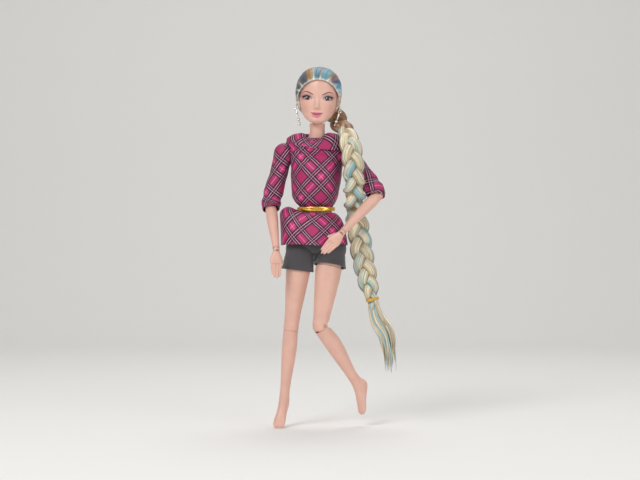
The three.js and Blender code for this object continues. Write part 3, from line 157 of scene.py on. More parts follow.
def joint_frame(carrier: Matrix, place: Sequence[float], axis: str, degrees: float = 0) -> Matrix:
    """The frame of a joint inside its carrier's frame.

    Args:
        carrier: The frame that the joint sits in.
        place: The joint's place in that frame.
        axis: The axis that it turns about.
        degrees: How far it is turned at rest.

    Returns:
        The joint's frame in the doll's frame.
    """
    turn = Matrix.Rotation(math.radians(degrees), 4, axis)
    return carrier @ Matrix.Translation(place) @ turn


@dataclass(frozen=True)
class ArmFrames:
    """The frames of one arm's joints."""

    raised: Matrix
    swivel: Matrix
    bend: Matrix
    turn: Matrix
    tilt: Matrix

    @classmethod
    def of(cls, side: Side) -> "ArmFrames":
        """Works out the frames of the arm on that side.

        Args:
            side: The side that it is on.

        Returns:
            The frames of its joints.
        """
        pose = ARM_POSES[side]
        place = (side.value * SHOULDER_SPREAD, 0, SHOULDER_HEIGHT)
        swing = joint_frame(Matrix(), place, "X", pose.swing)
        raised = joint_frame(swing, (0, 0, 0), "Y", pose.raised)
        swivel = joint_frame(raised, (0, 0, -UPPER_ARM), "Z", pose.swivel)
        bend = joint_frame(swivel, (0, 0, 0), "X", pose.bend)
        turn = joint_frame(bend, (0, 0, -FOREARM), "Z", pose.turn)
        tilt = joint_frame(turn, (0, 0, 0), "X", pose.tilt)
        return cls(raised, swivel, bend, turn, tilt)


@dataclass(frozen=True)
class LegFrames:
    """The frames of one leg's joints."""

    spread: Matrix
    twist: Matrix
    bend: Matrix

    @classmethod
    def of(cls, side: Side) -> "LegFrames":
        """Works out the frames of the leg on that side.

        Args:
            side: The side that it is on.

        Returns:
            The frames of its joints.
        """
        pose = LEG_POSES[side]
        place = (side.value * HIP_SPREAD, 0, -HIP_DROP)
        swing = joint_frame(Matrix(), place, "X", pose.swing)
        spread = joint_frame(swing, (0, 0, 0), "Y", pose.spread)
        twist = joint_frame(spread, (0, 0, 0), "Z", pose.twist)
        bend = joint_frame(twist, (0, 0, -THIGH), "X", pose.bend)
        return cls(spread, twist, bend)


def head_frame() -> Matrix:
    """The frame of the head, at the middle of the neck's ball."""
    return joint_frame(Matrix(), (NECK_LEAN, 0, NECK_TOP + KNOB_RISE), "Y", HEAD_TILT)


def bell(value: np.ndarray | float, width: float) -> np.ndarray:
    """A soft bump of height one round zero."""
    return np.exp(-((np.asarray(value) / width) ** 2))


def ease(low: float, high: float, value: np.ndarray | float) -> np.ndarray:
    """A smooth step from 0 at low to 1 at high."""
    share = np.clip((np.asarray(value, float) - low) / (high - low), 0, 1)
    return share * share * (3 - 2 * share)


class Table:
    """Rows of [place, values], read at any place on a smooth curve through them."""

    def __init__(self, rows: Sequence[Sequence[float]]) -> None:
        """Keeps the rows.

        Args:
            rows: Each row's place and then its values, in rising order.
        """
        data = np.array(rows, float)
        self.places, self.values = data[:, 0], data[:, 1:]

    def __call__(self, where: np.ndarray | float) -> np.ndarray:
        """Reads the table.

        Args:
            where: One place or an array of places.

        Returns:
            The values there, with one row for each place.
        """
        places, values = self.places, self.values
        t = np.atleast_1d(np.asarray(where, float))
        last = len(places) - 2
        i = np.clip(np.searchsorted(places, t, side="right") - 1, 0, last)
        t0, t1 = places[i], places[i + 1]
        before = np.where(i > 0, i - 1, i + 1)
        after = np.where(i < last, i + 2, i)
        half = (t1 - t0) / 2
        w_before = half / np.where(i > 0, t0 - places[before], t0 - t1)
        w_after = half / np.where(i < last, places[after] - t1, t0 - t1)
        p = np.clip((t - t0) / (t1 - t0), 0, 1)
        p2, p3 = p * p, p**3
        parts = (
            -w_before * p3 + 2 * w_before * p2 - w_before * p,
            (1 + w_before) * p3 + (-1.5 - 2 * w_before) * p2 + (w_before - 0.5) * p + 1,
            (-1 - w_after) * p3 + (1.5 + w_after) * p2 + 0.5 * p,
            w_after * p3 - w_after * p2,
        )
        rows = (values[before], values[i], values[i + 1], values[after])
        return sum(part[:, None] * row for part, row in zip(parts, rows))


class Route:
    """A smooth line through places, read at even lengths along it."""

    SAMPLES = 80

    def __init__(self, places: np.ndarray) -> None:
        """Fits the line.

        Args:
            places: The places that it passes, one row each.
        """
        p = np.vstack([2 * places[0] - places[1], places, 2 * places[-1] - places[-2]])
        pieces = []
        for k in range(len(places) - 1):
            a, b, c, d = p[k : k + 4]
            s, t, u = (math.sqrt(np.linalg.norm(y - x)) for x, y in ((a, b), (b, c), (c, d)))
            start = ((b - a) / s - (c - a) / (s + t) + (c - b) / t) * t
            end = ((c - b) / t - (d - b) / (t + u) + (d - c) / u) * t
            w = np.linspace(0, 1, self.SAMPLES, endpoint=False)[:, None]
            bend, curl = -3 * b + 3 * c - 2 * start - end, 2 * b - 2 * c + start + end
            pieces.append(b + start * w + bend * w**2 + curl * w**3)
        self.points = np.vstack([*pieces, places[-1:]])
        steps = np.linalg.norm(np.diff(self.points, axis=0), axis=1)
        self.run = np.concatenate([[0], np.cumsum(steps)])
        self.length = float(self.run[-1])

    def at(self, share: np.ndarray) -> np.ndarray:
        """The points at these shares of the length."""
        where = np.clip(share, 0, 1) * self.length
        return np.stack([np.interp(where, self.run, c) for c in self.points.T], axis=-1)

    def heading(self, share: np.ndarray) -> np.ndarray:
        """The directions of the line at these shares of the length.

        Args:
            share: Shares of the length.

        Returns:
            The directions, one row each.
        """
        step = 0.01
        ahead = self.at(np.minimum(share + step, 1)) - self.at(np.maximum(share - step, 0))
        return unit(ahead)


def unit(vectors: np.ndarray) -> np.ndarray:
    """The vectors at a length of one."""
    return vectors / np.maximum(np.linalg.norm(vectors, axis=-1, keepdims=True), 1e-9)


def sideways(heading: np.ndarray) -> tuple[np.ndarray, np.ndarray]:
    """Directions across and out of something that lies on the doll's front.

    Args:
        heading: Where each place of it is heading.

    Returns:
        The directions across it and away from the doll.
    """
    up = np.array([0, -1, 0.6])
    out = unit(up - heading * (heading @ up)[..., None])
    return unit(np.cross(out, heading)), out


class Operation(Enum):
    """How two solids are combined."""

    JOIN = "UNION"
    CUT = "DIFFERENCE"
    COMMON = "INTERSECT"


def circle(sides: int) -> np.ndarray:
    """Evenly spaced angles round a circle, with no repeat of the first."""
    return np.arange(sides) / sides * 2 * math.pi


def oval(
    angle: np.ndarray,
    z: np.ndarray | float,
    right: np.ndarray | float,
    left: np.ndarray | float,
    front: np.ndarray | float,
    back: np.ndarray | float,
) -> np.ndarray:
    """Points of an oval whose four half sizes may differ. Angle zero is at the front.

    Args:
        angle: Angles round it.
        z: The height, or a height for each angle.
        right: The half size to the right.
        left: The half size to the left.
        front: The half size to the front.
        back: The half size to the back.

    Returns:
        Points, one for each angle.
    """
    across, along = np.sin(angle), -np.cos(angle)
    x = across * np.where(across < 0, right, left)
    y = along * np.where(along < 0, front, back)
    return np.stack([x, y, np.broadcast_to(z, x.shape)], axis=-1)


def signed_volume(points: np.ndarray, quads: np.ndarray) -> float:
    """The volume inside a skin of quads, negative when its faces look inward.

    Args:
        points: The corner points.
        quads: The four corners of each face.

    Returns:
        The volume.
    """
    a, b, c, d = (points[quads[:, k]] for k in range(4))
    first = np.einsum("ij,ij->i", a, np.cross(b, c))
    return float((first + np.einsum("ij,ij->i", a, np.cross(c, d))).sum())


def grid(
    rings: np.ndarray,
    coords: np.ndarray | None = None,
    loop: bool = False,
    capped: bool = True,
) -> bpy.types.Mesh:
    """Joins rings of points into one skin.

    Args:
        rings: Points of shape (rings, sides, 3), each ring closed.
        coords: Cloth or strand coordinates in mm, of shape (rings, sides + 1, 2).
        loop: Whether the last ring joins the first.
        capped: Whether a fan closes each end where it doesn't.

    Returns:
        The mesh, with the coordinates as its UV map where they are given.
    """
    count, sides = rings.shape[:2]
    spans = count if loop else count - 1
    r, i = np.meshgrid(np.arange(spans), np.arange(sides), indexing="ij")
    r, i = r.ravel(), i.ravel()
    n, j = (r + 1) % count, (i + 1) % sides
    quads = np.stack([r * sides + i, r * sides + j, n * sides + j, n * sides + i], 1)
    points = rings.reshape(-1, 3)
    flip = signed_volume(points, quads) < 0
    if flip:
        quads = quads[:, ::-1]
    faces = quads.tolist()
    if not loop and capped:
        first, last = list(range(sides)), list(range((count - 1) * sides, count * sides))
        ends = [first[::-1], last]
        faces += [end[::-1] for end in ends] if flip else ends
    mesh = bpy.data.meshes.new("skin")
    mesh.from_pydata(points.tolist(), [], faces)
    if coords is not None:
        spots = np.stack([coords[r, i], coords[r, i + 1], coords[n, i + 1], coords[n, i]], 1)
        if flip:
            spots = spots[:, ::-1]
        flat = np.zeros((len(mesh.loops), 2))
        flat[: 4 * len(spots)] = spots.reshape(-1, 2)
        mesh.uv_layers.new(name="cloth").uv.foreach_set("vector", flat.ravel())
    mesh.validate()
    return mesh


def shell(outer: np.ndarray, thickness: float, coords: np.ndarray) -> bpy.types.Mesh:
    """A cloth of one thickness below its outer face.

    Args:
        outer: The outer face, of shape (rings, sides, 3).
        thickness: How thick the cloth is.
        coords: Its cloth coordinates, of shape (rings, sides + 1, 2).

    Returns:
        The closed cloth.
    """
    along = np.gradient(outer, axis=0)
    around = np.roll(outer, -1, axis=1) - np.roll(outer, 1, axis=1)
    normals = unit(np.cross(along, around))
    away = outer - outer.mean(axis=1, keepdims=True)
    sign = np.sign((normals * away).sum())
    inner = outer - sign * thickness * normals
    both = np.concatenate([outer, inner[::-1]])
    return grid(both, np.concatenate([coords, coords[::-1]]), loop=True)


def cloth_coords(outer: np.ndarray, start: tuple[float, float]) -> np.ndarray:
    """Where each place of a cloth lies on its flat cut, from the middle of its front.

    Args:
        outer: The outer face, of shape (rings, sides, 3), from one edge to the other.
        start: The coordinates of the first ring's place at the front.

    Returns:
        Coordinates in mm, of shape (rings, sides + 1, 2).
    """
    closed = np.concatenate([outer, outer[:, :1]], axis=1)
    steps = np.linalg.norm(np.diff(closed, axis=1), axis=2)
    run = np.concatenate([np.zeros((len(outer), 1)), np.cumsum(steps, axis=1)], axis=1)
    across = np.where(run > run[:, -1:] / 2 + 1e-6, run - run[:, -1:], run)
    rows = np.linalg.norm(np.diff(outer, axis=0), axis=2)
    down = np.concatenate([[0], np.cumsum(rows.mean(axis=1))])
    up = np.sign(outer[-1, :, 2].mean() - outer[0, :, 2].mean())
    height = np.broadcast_to(up * down[:, None] + start[1], across.shape)
    return np.stack([across + start[0], height], -1)


def strand_coords(around: np.ndarray, along: np.ndarray) -> np.ndarray:
    """Strand coordinates of all places, in mm round the strand and along it."""
    return np.stack(np.broadcast_arrays(around[None, :], along[:, None]), -1)


def ringed(
    line: np.ndarray,
    ways: tuple[np.ndarray, np.ndarray],
    angle: np.ndarray,
    wide: np.ndarray | float,
    deep: np.ndarray | float,
) -> np.ndarray:
    """Rings of points round a line.

    Args:
        line: The line's points.
        ways: At each of them, the directions across and out.
        angle: The angles round a ring.
        wide: The half sizes across.
        deep: The half sizes out.

    Returns:
        Points of shape (places, angles, 3).
    """
    across, out = ways
    return (
        line[:, None]
        + across[:, None] * (np.cos(angle)[None, :] * wide)[..., None]
        + out[:, None] * (np.sin(angle)[None, :] * deep)[..., None]
    )


def combine(operation: Operation, first: bpy.types.Mesh, *others: bpy.types.Mesh) -> bpy.types.Mesh:
    """Combines closed solids.

    Args:
        operation: What is done with each of the others.
        first: The solid that is changed.
        others: The solids that it is combined with, in order.

    Returns:
        The new solid.
    """
    collection = bpy.context.scene.collection
    target = bpy.data.objects.new("work", first)
    collection.objects.link(target)
    tools = []
    for other in others:
        tool = bpy.data.objects.new("tool", other)
        collection.objects.link(tool)
        tools.append(tool)
        modifier = target.modifiers.new("solid", "BOOLEAN")
        modifier.operation = operation.value
        modifier.solver = "MANIFOLD"
        modifier.object = tool
    depsgraph = bpy.context.evaluated_depsgraph_get()
    result = bpy.data.meshes.new_from_object(target.evaluated_get(depsgraph))
    for piece in (target, *tools):
        bpy.data.objects.remove(piece)
    return result


def moved(mesh: bpy.types.Mesh, matrix: Matrix) -> bpy.types.Mesh:
    """The mesh after a move or a scaling."""
    mesh.transform(matrix)
    return mesh


def ball(radius: float, place: Sequence[float] = (0, 0, 0), sides: int = 40) -> bpy.types.Mesh:
    """A ball round a place.

    Args:
        radius: Its radius.
        place: Its middle.
        sides: How many facets go round it.

    Returns:
        The ball.
    """
    rise = np.linspace(-0.5, 0.5, sides // 2 + 1)[1:-1, None] * math.pi
    angle = circle(sides)[None, :]
    rings = radius * np.stack(
        [np.cos(rise) * np.sin(angle), -np.cos(rise) * np.cos(angle), np.sin(rise) + 0 * angle], -1
    )
    return grid(rings + np.array(place, float))


def rod(axis: str, radius: float, start: float, end: float, sides: int = 32) -> bpy.types.Mesh:
    """A rod along one axis, between two places on it.

    Args:
        axis: The axis that it lies along.
        radius: Its radius.
        start: Where it starts on the axis.
        end: Where it ends.
        sides: How many facets go round it.

    Returns:
        The rod.
    """
    angle = circle(sides)
    rings = np.stack([
        np.stack([radius * np.cos(angle), radius * np.sin(angle), np.full(sides, z)], -1)
        for z in (start, end)
    ])
    order = {"x": [2, 0, 1], "y": [1, 2, 0], "z": [0, 1, 2]}[axis]
    return grid(rings[:, :, order])


def block(middle: Sequence[float], size: Sequence[float]) -> bpy.types.Mesh:
    """A block round a place.

    Args:
        middle: Its middle.
        size: Its sizes.

    Returns:
        The block.
    """
    corners = np.array([(-1, -1), (1, -1), (1, 1), (-1, 1)]) / 2
    rings = np.stack([np.column_stack([corners, np.full(4, z)]) for z in (-0.5, 0.5)])
    return grid(rings * np.array(size) + np.array(middle))


def wedge(start: float, end: float, reach: float, width: float) -> bpy.types.Mesh:
    """A wedge about the x axis, open between two directions.

    Args:
        start: The first direction, in degrees from -Z towards +Y.
        end: The second direction.
        reach: How far out it goes.
        width: Its size along the axis.

    Returns:
        The wedge.
    """
    turns = np.radians(np.linspace(start, end, 25))
    arc = np.column_stack([np.sin(turns) * reach, -np.cos(turns) * reach])
    outline = np.vstack([[0, 0], arc])
    rings = np.stack([
        np.column_stack([np.full(len(outline), x), outline]) for x in (-width / 2, width / 2)
    ])
    return grid(rings)


def colour(code: str) -> np.ndarray:
    """An sRGB hex colour as linear numbers with full cover.

    Args:
        code: The colour, as # and six digits.

    Returns:
        The colour, as four linear numbers.
    """
    parts = np.array([int(code[k : k + 2], 16) / 255 for k in (1, 3, 5)])
    linear = np.where(parts <= 0.04045, parts / 12.92, ((parts + 0.055) / 1.055) ** 2.4)
    return np.append(linear, 1)


def paint(mesh: bpy.types.Mesh, colours: np.ndarray, name: str = "paint") -> None:
    """Keeps one colour for each corner point of a mesh.

    Args:
        mesh: The mesh.
        colours: Linear colours, of shape (points, 4).
        name: The name that the material reads them by.
    """
    layer = mesh.color_attributes.new(name, "FLOAT_COLOR", "POINT")
    layer.data.foreach_set("color", colours.astype(np.float32).ravel())
    mesh.color_attributes.active_color = layer


def points_of(mesh: bpy.types.Mesh) -> np.ndarray:
    """The corner points of a mesh, one row each.

    Args:
        mesh: The mesh.

    Returns:
        The points.
    """
    values = np.zeros(len(mesh.vertices) * 3, np.float32)
    mesh.vertices.foreach_get("co", values)
    return values.reshape(-1, 3).astype(float)


def feed(tree: bpy.types.NodeTree, node: bpy.types.Node, inputs: dict[str | int, object]) -> None:
    """Sets a node's inputs.

    Args:
        tree: The node tree.
        node: The node.
        inputs: For each input, its value or the output that feeds it.
    """
    for key, value in inputs.items():
        if isinstance(value, bpy.types.NodeSocket):
            tree.links.new(value, node.inputs[key])
        else:
            node.inputs[key].default_value = value


def add(
    tree: bpy.types.NodeTree,
    kind: str,
    inputs: dict[str | int, object] | None = None,
    **settings: object,
) -> bpy.types.Node:
    """Adds a node with its settings and links.

    Args:
        tree: The node tree.
        kind: The node's type, without the ShaderNode that it starts with.
        inputs: For each input, its value or the output that feeds it.
        settings: The node's own properties.

    Returns:
        The node.
    """
    node = tree.nodes.new(f"ShaderNode{kind}")
    for key, value in settings.items():
        setattr(node, key, value)
    feed(tree, node, inputs or {})
    return node


@dataclass(frozen=True)
class Finish:
    """What every finish has: a name and the plain numbers of its surface. Its sizes are in mm."""

    name: str
    hue: str = "#ffffff"
    roughness: float = 0.5
    metallic: float = 0.0

    def make(self) -> bpy.types.Material:
        """Makes the material.

        Returns:
            The material, with its colour and relief.
        """
        material = bpy.data.materials.new(self.name)
        material.use_nodes = True
        hue = tuple(colour(self.hue))
        material.diffuse_color = hue
        tree = material.node_tree
        shader = tree.nodes["Principled BSDF"]
        feed(tree, shader, {"Base Color": hue, "Roughness": self.roughness, "Metallic": self.metallic})
        self.detail(tree, shader)
        return material

    def detail(self, tree: bpy.types.NodeTree, shader: bpy.types.Node) -> None:
        """Adds what the surface shows from near. The plain finish has nothing."""

    def relief(
        self,
        tree: bpy.types.NodeTree,
        shader: bpy.types.Node,
        height: bpy.types.NodeSocket,
        depth: float,
        strength: float,
    ) -> None:
        """Lets a height stand out of the surface.

        Args:
            tree: The node tree.
            shader: The surface's shader.
            height: The height, from 0 to 1.
            depth: What a height of 1 is, in mm.
            strength: How much of it shows.
        """
        bump = add(tree, "Bump", {"Height": height, "Distance": depth * MM, "Strength": strength})
        feed(tree, shader, {"Normal": bump.outputs["Normal"]})


@dataclass(frozen=True)
class MouldedVinyl(Finish):
    """Soft vinyl or hard plastic from a polished mould: even, satin, a little light goes in.

    The eye sees broad soft highlights, slightly warmer thin edges and a very fine grain.
    """

    grain: float = 0.35
    mottle: float = 9
    glow: float = 0.12
    glow_reach: float = 1.5
    painted: bool = False

    def detail(self, tree: bpy.types.NodeTree, shader: bpy.types.Node) -> None:
        """Adds the faint mottle of pigmented vinyl, its grain and its glow.

        Args:
            tree: The node tree.
            shader: The surface's shader.
        """
        place = add(tree, "TexCoord").outputs["Object"]
        mottle = add(tree, "TexNoise", {"Vector": place, "Scale": 1 / (self.mottle * MM), "Detail": 3})
        if self.painted:
            base = add(tree, "VertexColor", layer_name="paint").outputs["Color"]
        else:
            base = tuple(colour(self.hue)[:3])
        tint = add(tree, "MapRange", {
            "Value": mottle.outputs["Fac"],
            "From Min": 0.35, "From Max": 0.65, "To Min": 0.965, "To Max": 1.03,
        }).outputs[0]
        mixed = add(tree, "VectorMath", {0: base, "Scale": tint}, operation="SCALE").outputs[0]
        feed(tree, shader, {
            "Subsurface Weight": self.glow,
            "Subsurface Radius": (1, 0.45, 0.3),
            "Subsurface Scale": self.glow_reach * MM,
            "IOR": 1.5,
            "Base Color": mixed,
        })
        fine = add(tree, "TexNoise", {"Vector": place, "Scale": 1 / (self.grain * MM), "Detail": 2})
        self.relief(tree, shader, fine.outputs["Fac"], 0.012, 0.35)


@dataclass(frozen=True)
class NylonHair(Finish):
    """Drawn nylon fibre, combed together: glossy along its length, with fine dark partings.

    The eye sees streaks of fibre, thin bright lines and small differences of tint from lock to lock.
    The fibre is drawn coarser than the real one, so that it shows.
    """

    fibre: float = 0.42
    fibre_run: float = 26
    lock: float = 1.512
    lock_run: float = 40

    def detail(self, tree: bpy.types.NodeTree, shader: bpy.types.Node) -> None:
        """Adds streaks along the strands: fine ones for the fibres and broad ones for the locks.

        Args:
            tree: The node tree.
            shader: The surface's shader.
        """
        uv = add(tree, "UVMap", uv_map="cloth").outputs["UV"]
        streaks = (
            (self.fibre, self.fibre_run, 3, 0.6, (0.32, 0.66, 0.5, 1.2)),
            (self.lock, self.lock_run, 2, 0.5, (0.36, 0.62, 0.66, 1.14)),
        )
        noises, shades = [], []
        for across, along, detail, roughness, (low, high, dark, light) in streaks:
            scale = (1 / across, 1 / along, 1)
            spread = add(tree, "Mapping", {"Vector": uv, "Scale": scale}).outputs["Vector"]
            noise = add(tree, "TexNoise", {
                "Vector": spread, "Scale": 1.0, "Detail": detail, "Roughness": roughness,
            }).outputs["Fac"]
            noises.append(noise)
            shades.append(add(tree, "MapRange", {
                "Value": noise, "From Min": low, "From Max": high, "To Min": dark, "To Max": light,
            }).outputs[0])
        both = add(tree, "Math", {0: shades[0], 1: shades[1]}, operation="MULTIPLY").outputs[0]
        base = add(tree, "VertexColor", layer_name="paint").outputs["Color"]
        mixed = add(tree, "VectorMath", {0: base, "Scale": both}, operation="SCALE").outputs[0]
        feed(tree, shader, {"Specular IOR Level": 0.6, "Sheen Weight": 0.12, "Base Color": mixed})
        self.relief(tree, shader, noises[0], 0.16, 0.8)


@dataclass(frozen=True)
class PlaidSatin(Finish):
    """Woven polyester satin in a tartan: magenta squares with crossed bands of black and pink threads.

    The eye sees lines on the bias, darker where bands cross, with pale dots where pale threads meet,
    and a soft sheen with the fine rib of the weave. Each pair of a line tells how far from the middle of
    a band it starts and ends.
    """

    turn: float = 45
    period: float = 24
    shift: tuple[float, float] = (0, 0)
    black: str = "#180a17"
    pale: str = "#f2aed2"
    bright: str = "#ff74bb"
    thread: float = 0.5
    bright_line: float = 0.42
    black_lines: tuple[tuple[float, float], ...] = ((2.9, 4.25), (4.7, 6.2), (6.6, 7.9))
    pale_lines: tuple[tuple[float, float], ...] = ((4.25, 4.7), (6.2, 6.6))

    def stripes(self, tree: bpy.types.NodeTree, place: bpy.types.NodeSocket) -> bpy.types.Node:
        """Reads the threads that run one way.

        Args:
            tree: The node tree.
            place: The coordinate across the threads, in mm.

        Returns:
            A node with black as red, pale as green and bright as blue.
        """
        turns = add(tree, "Math", {0: place, 1: self.period}, operation="DIVIDE")
        share = add(tree, "Math", {0: turns.outputs[0]}, operation="FRACT")
        away = add(tree, "Math", {0: share.outputs[0], 1: 0.5}, operation="SUBTRACT")
        far = add(tree, "Math", {0: away.outputs[0]}, operation="ABSOLUTE")
        ramp = add(tree, "ValToRGB", {"Fac": far.outputs[0]})
        stops = [(0.0, (0, 0, 1, 1)), (self.bright_line, (0, 0, 0.1, 1))]
        lines = [(start, (1, 0, 0, 1)) for start, _ in self.black_lines]
        lines += [(start, (0, 1, 0, 1)) for start, _ in self.pale_lines]
        stops += [*sorted(lines), (self.black_lines[-1][1], (0, 0, 0, 1))]
        ramp.color_ramp.interpolation = "CONSTANT"
        elements = ramp.color_ramp.elements
        for k, (where, value) in enumerate(stops):
            element = elements[k] if k < 2 else elements.new(where / self.period)
            element.position, element.color = where / self.period, value
        return add(tree, "SeparateColor", {"Color": ramp.outputs["Color"]})

    def crossed(
        self, tree: bpy.types.NodeTree, ways: Sequence[bpy.types.Node], channel: int, alone: float
    ) -> bpy.types.NodeSocket:
        """How much a kind of thread covers: in part alone, and wholly where two such lines cross.

        Args:
            tree: The node tree.
            ways: The threads that run each way.
            channel: Where the kind of thread is kept in them.
            alone: How much one line covers.

        Returns:
            The cover.
        """
        pair = {0: ways[0].outputs[channel], 1: ways[1].outputs[channel]}
        most = add(tree, "Math", pair, operation="MAXIMUM").outputs[0]
        least = add(tree, "Math", pair, operation="MINIMUM").outputs[0]
        rest = add(tree, "Math", {0: least, 1: 1 - alone}, operation="MULTIPLY").outputs[0]
        return add(tree, "Math", {0: most, 1: alone, 2: rest}, operation="MULTIPLY_ADD").outputs[0]

    def detail(self, tree: bpy.types.NodeTree, shader: bpy.types.Node) -> None:
        """Adds the tartan, the rib of the weave and the sheen of satin.

        Args:
            tree: The node tree.
            shader: The surface's shader.
        """
        uv = add(tree, "UVMap", uv_map="cloth").outputs["UV"]
        place = add(
            tree, "VectorMath", {0: uv, 1: (-self.shift[0], -self.shift[1], 0)}, operation="ADD"
        ).outputs[0]
        turned = add(
            tree, "VectorRotate", {"Vector": place, "Angle": math.radians(self.turn)}, rotation_type="Z_AXIS"
        ).outputs[0]
        half = (self.period / 2, self.period / 2, 0)
        centred = add(tree, "VectorMath", {0: turned, 1: half}, operation="ADD").outputs[0]
        axes = add(tree, "SeparateXYZ", {"Vector": centred})
        ways = [self.stripes(tree, axes.outputs[k]) for k in (0, 1)]
        dark, light, glow = (
            self.crossed(tree, ways, channel, alone) for channel, alone in enumerate((0.9, 0.85, 0.55))
        )
        hidden = add(tree, "Math", {0: dark, 1: -0.55, 2: 1.0}, operation="MULTIPLY_ADD").outputs[0]
        seen = add(tree, "Math", {0: light, 1: hidden}, operation="MULTIPLY").outputs[0]
        glowing = add(tree, "Math", {0: glow, 1: hidden}, operation="MULTIPLY").outputs[0]
        woven = tuple(colour(self.hue))
        for code, share in ((self.bright, glowing), (self.black, dark), (self.pale, seen)):
            over = tuple(colour(code))
            woven = add(tree, "Mix", {0: share, 6: woven, 7: over}, data_type="RGBA").outputs[2]
        threads = [
            add(
                tree,
                "TexWave",
                {"Vector": turned, "Scale": 2 * math.pi / (20 * self.thread)},
                bands_direction=way,
                wave_profile="SIN",
            ).outputs["Fac"]
            for way in ("X", "Y")
        ]
        rib = add(tree, "Math", {0: threads[0], 1: threads[1]}, operation="ADD").outputs[0]
        tint = add(
            tree, "MapRange", {"Value": rib, "From Min": 0, "From Max": 2, "To Min": 0.9, "To Max": 1.08}
        ).outputs[0]
        final = add(tree, "VectorMath", {0: woven, "Scale": tint}, operation="SCALE").outputs[0]
        feed(tree, shader, {
            "Sheen Weight": 0.08,
            "Sheen Roughness": 0.35,
            "Sheen Tint": tuple(colour("#ff9ccb")),
            "Base Color": final,
        })
        self.relief(tree, shader, rib, 0.05, 0.5)


@dataclass(frozen=True)
class CottonKnit(Finish):
    """Brushed cotton jersey, dyed charcoal: no shine, a soft nap and fine vertical wales.

    The eye sees an even dark cloth whose nap lightens its edges. The wales are drawn a little coarse,
    so that they show.
    """

    wale: float = 0.7
    nap: float = 1.1
    uneven: float = 0.16

    def detail(self, tree: bpy.types.NodeTree, shader: bpy.types.Node) -> None:
        """Adds the wales and the nap.

        Args:
            tree: The node tree.
            shader: The surface's shader.
        """
        place = add(tree, "TexCoord").outputs["Object"]
        wales = add(
            tree,
            "TexWave",
            {"Vector": place, "Scale": 2 * math.pi / (20 * self.wale * MM), "Distortion": 1.2, "Detail": 2},
            bands_direction="X",
        ).outputs["Fac"]
        scale = 1 / (self.nap * MM)
        nap = add(tree, "TexNoise", {"Vector": place, "Scale": scale, "Detail": 4}).outputs["Fac"]
        low, high = (tuple(colour(self.hue) * share) for share in (1 - self.uneven, 1 + self.uneven))
        dyed = add(tree, "Mix", {0: nap, 6: low, 7: high}, data_type="RGBA").outputs[2]
        feed(tree, shader, {
            "Specular IOR Level": 0.25, "Sheen Weight": 0.35, "Sheen Roughness": 0.6, "Base Color": dyed,
        })
        height = add(tree, "Math", {0: wales, 1: nap}, operation="ADD").outputs[0]
        self.relief(tree, shader, height, 0.06, 0.5)


@dataclass(frozen=True)
class PlatedPlastic(Finish):
    """Vacuum-plated or pearly moulded plastic: a bright skin that follows every ripple of the moulding.

    The eye sees sharp highlights that waver a little.
    """

    ripple: float = 2.5
    uneven: float = 0.3

    def detail(self, tree: bpy.types.NodeTree, shader: bpy.types.Node) -> None:
        """Adds the slow ripple and the small unevenness of the gloss.

        Args:
            tree: The node tree.
            shader: The surface's shader.
        """
        place = add(tree, "TexCoord").outputs["Object"]
        scale = 1 / (self.ripple * MM)
        wave = add(tree, "TexNoise", {"Vector": place, "Scale": scale, "Detail": 2}).outputs["Fac"]
        low, high = (self.roughness * share for share in (1 - self.uneven, 1 + self.uneven))
        gloss = add(tree, "MapRange", {"Value": wave, "To Min": low, "To Max": high}).outputs[0]
        feed(tree, shader, {"Coat Weight": 0.3, "Coat Roughness": 0.12, "Roughness": gloss})
        self.relief(tree, shader, wave, 0.08, 0.4)


SKIN_HUE = "#e2b4a3"
SKIN = MouldedVinyl("moulded_vinyl_skin", SKIN_HUE, 0.42)
FACE = MouldedVinyl("painted_soft_vinyl_face", SKIN_HUE, 0.4, painted=True)
JOINT = MouldedVinyl("moulded_joint_plastic", "#dba98f", 0.35, glow=0.05)
HAIR = NylonHair("combed_nylon_hair", roughness=0.42)
BRAID = NylonHair("braided_nylon_hair", roughness=0.36)
BODICE_SATIN = PlaidSatin("plaid_satin_bodice", "#b01f64", 0.5, turn=45, shift=(3.6, 27))
PEPLUM_SATIN = PlaidSatin("plaid_satin_peplum", "#b01f64", 0.5, turn=45, shift=(-3, -5.7))
SLEEVE_SATIN = PlaidSatin("plaid_satin_sleeve", "#a51e5d", 0.5, turn=22, shift=(2, -16))
COLLAR_SATIN = PlaidSatin("plaid_satin_collar", "#aa1f60", 0.5, turn=38, shift=(4, 1))
JERSEY = CottonKnit("charcoal_cotton_jersey", "#48464a", 0.95)
GOLD = PlatedPlastic("plated_gold_plastic", "#f7c748", 0.22, 0.85)
GOLD_VINYL = PlatedPlastic("gold_vinyl_band", "#e2b146", 0.4, 0.35)
ELASTIC = PlatedPlastic("gold_elastic_thread", "#d8a93a", 0.5, 0.1, ripple=0.8)
SILVER = PlatedPlastic("plated_silver_beads", "#f4f2f2", 0.14, 0.75)


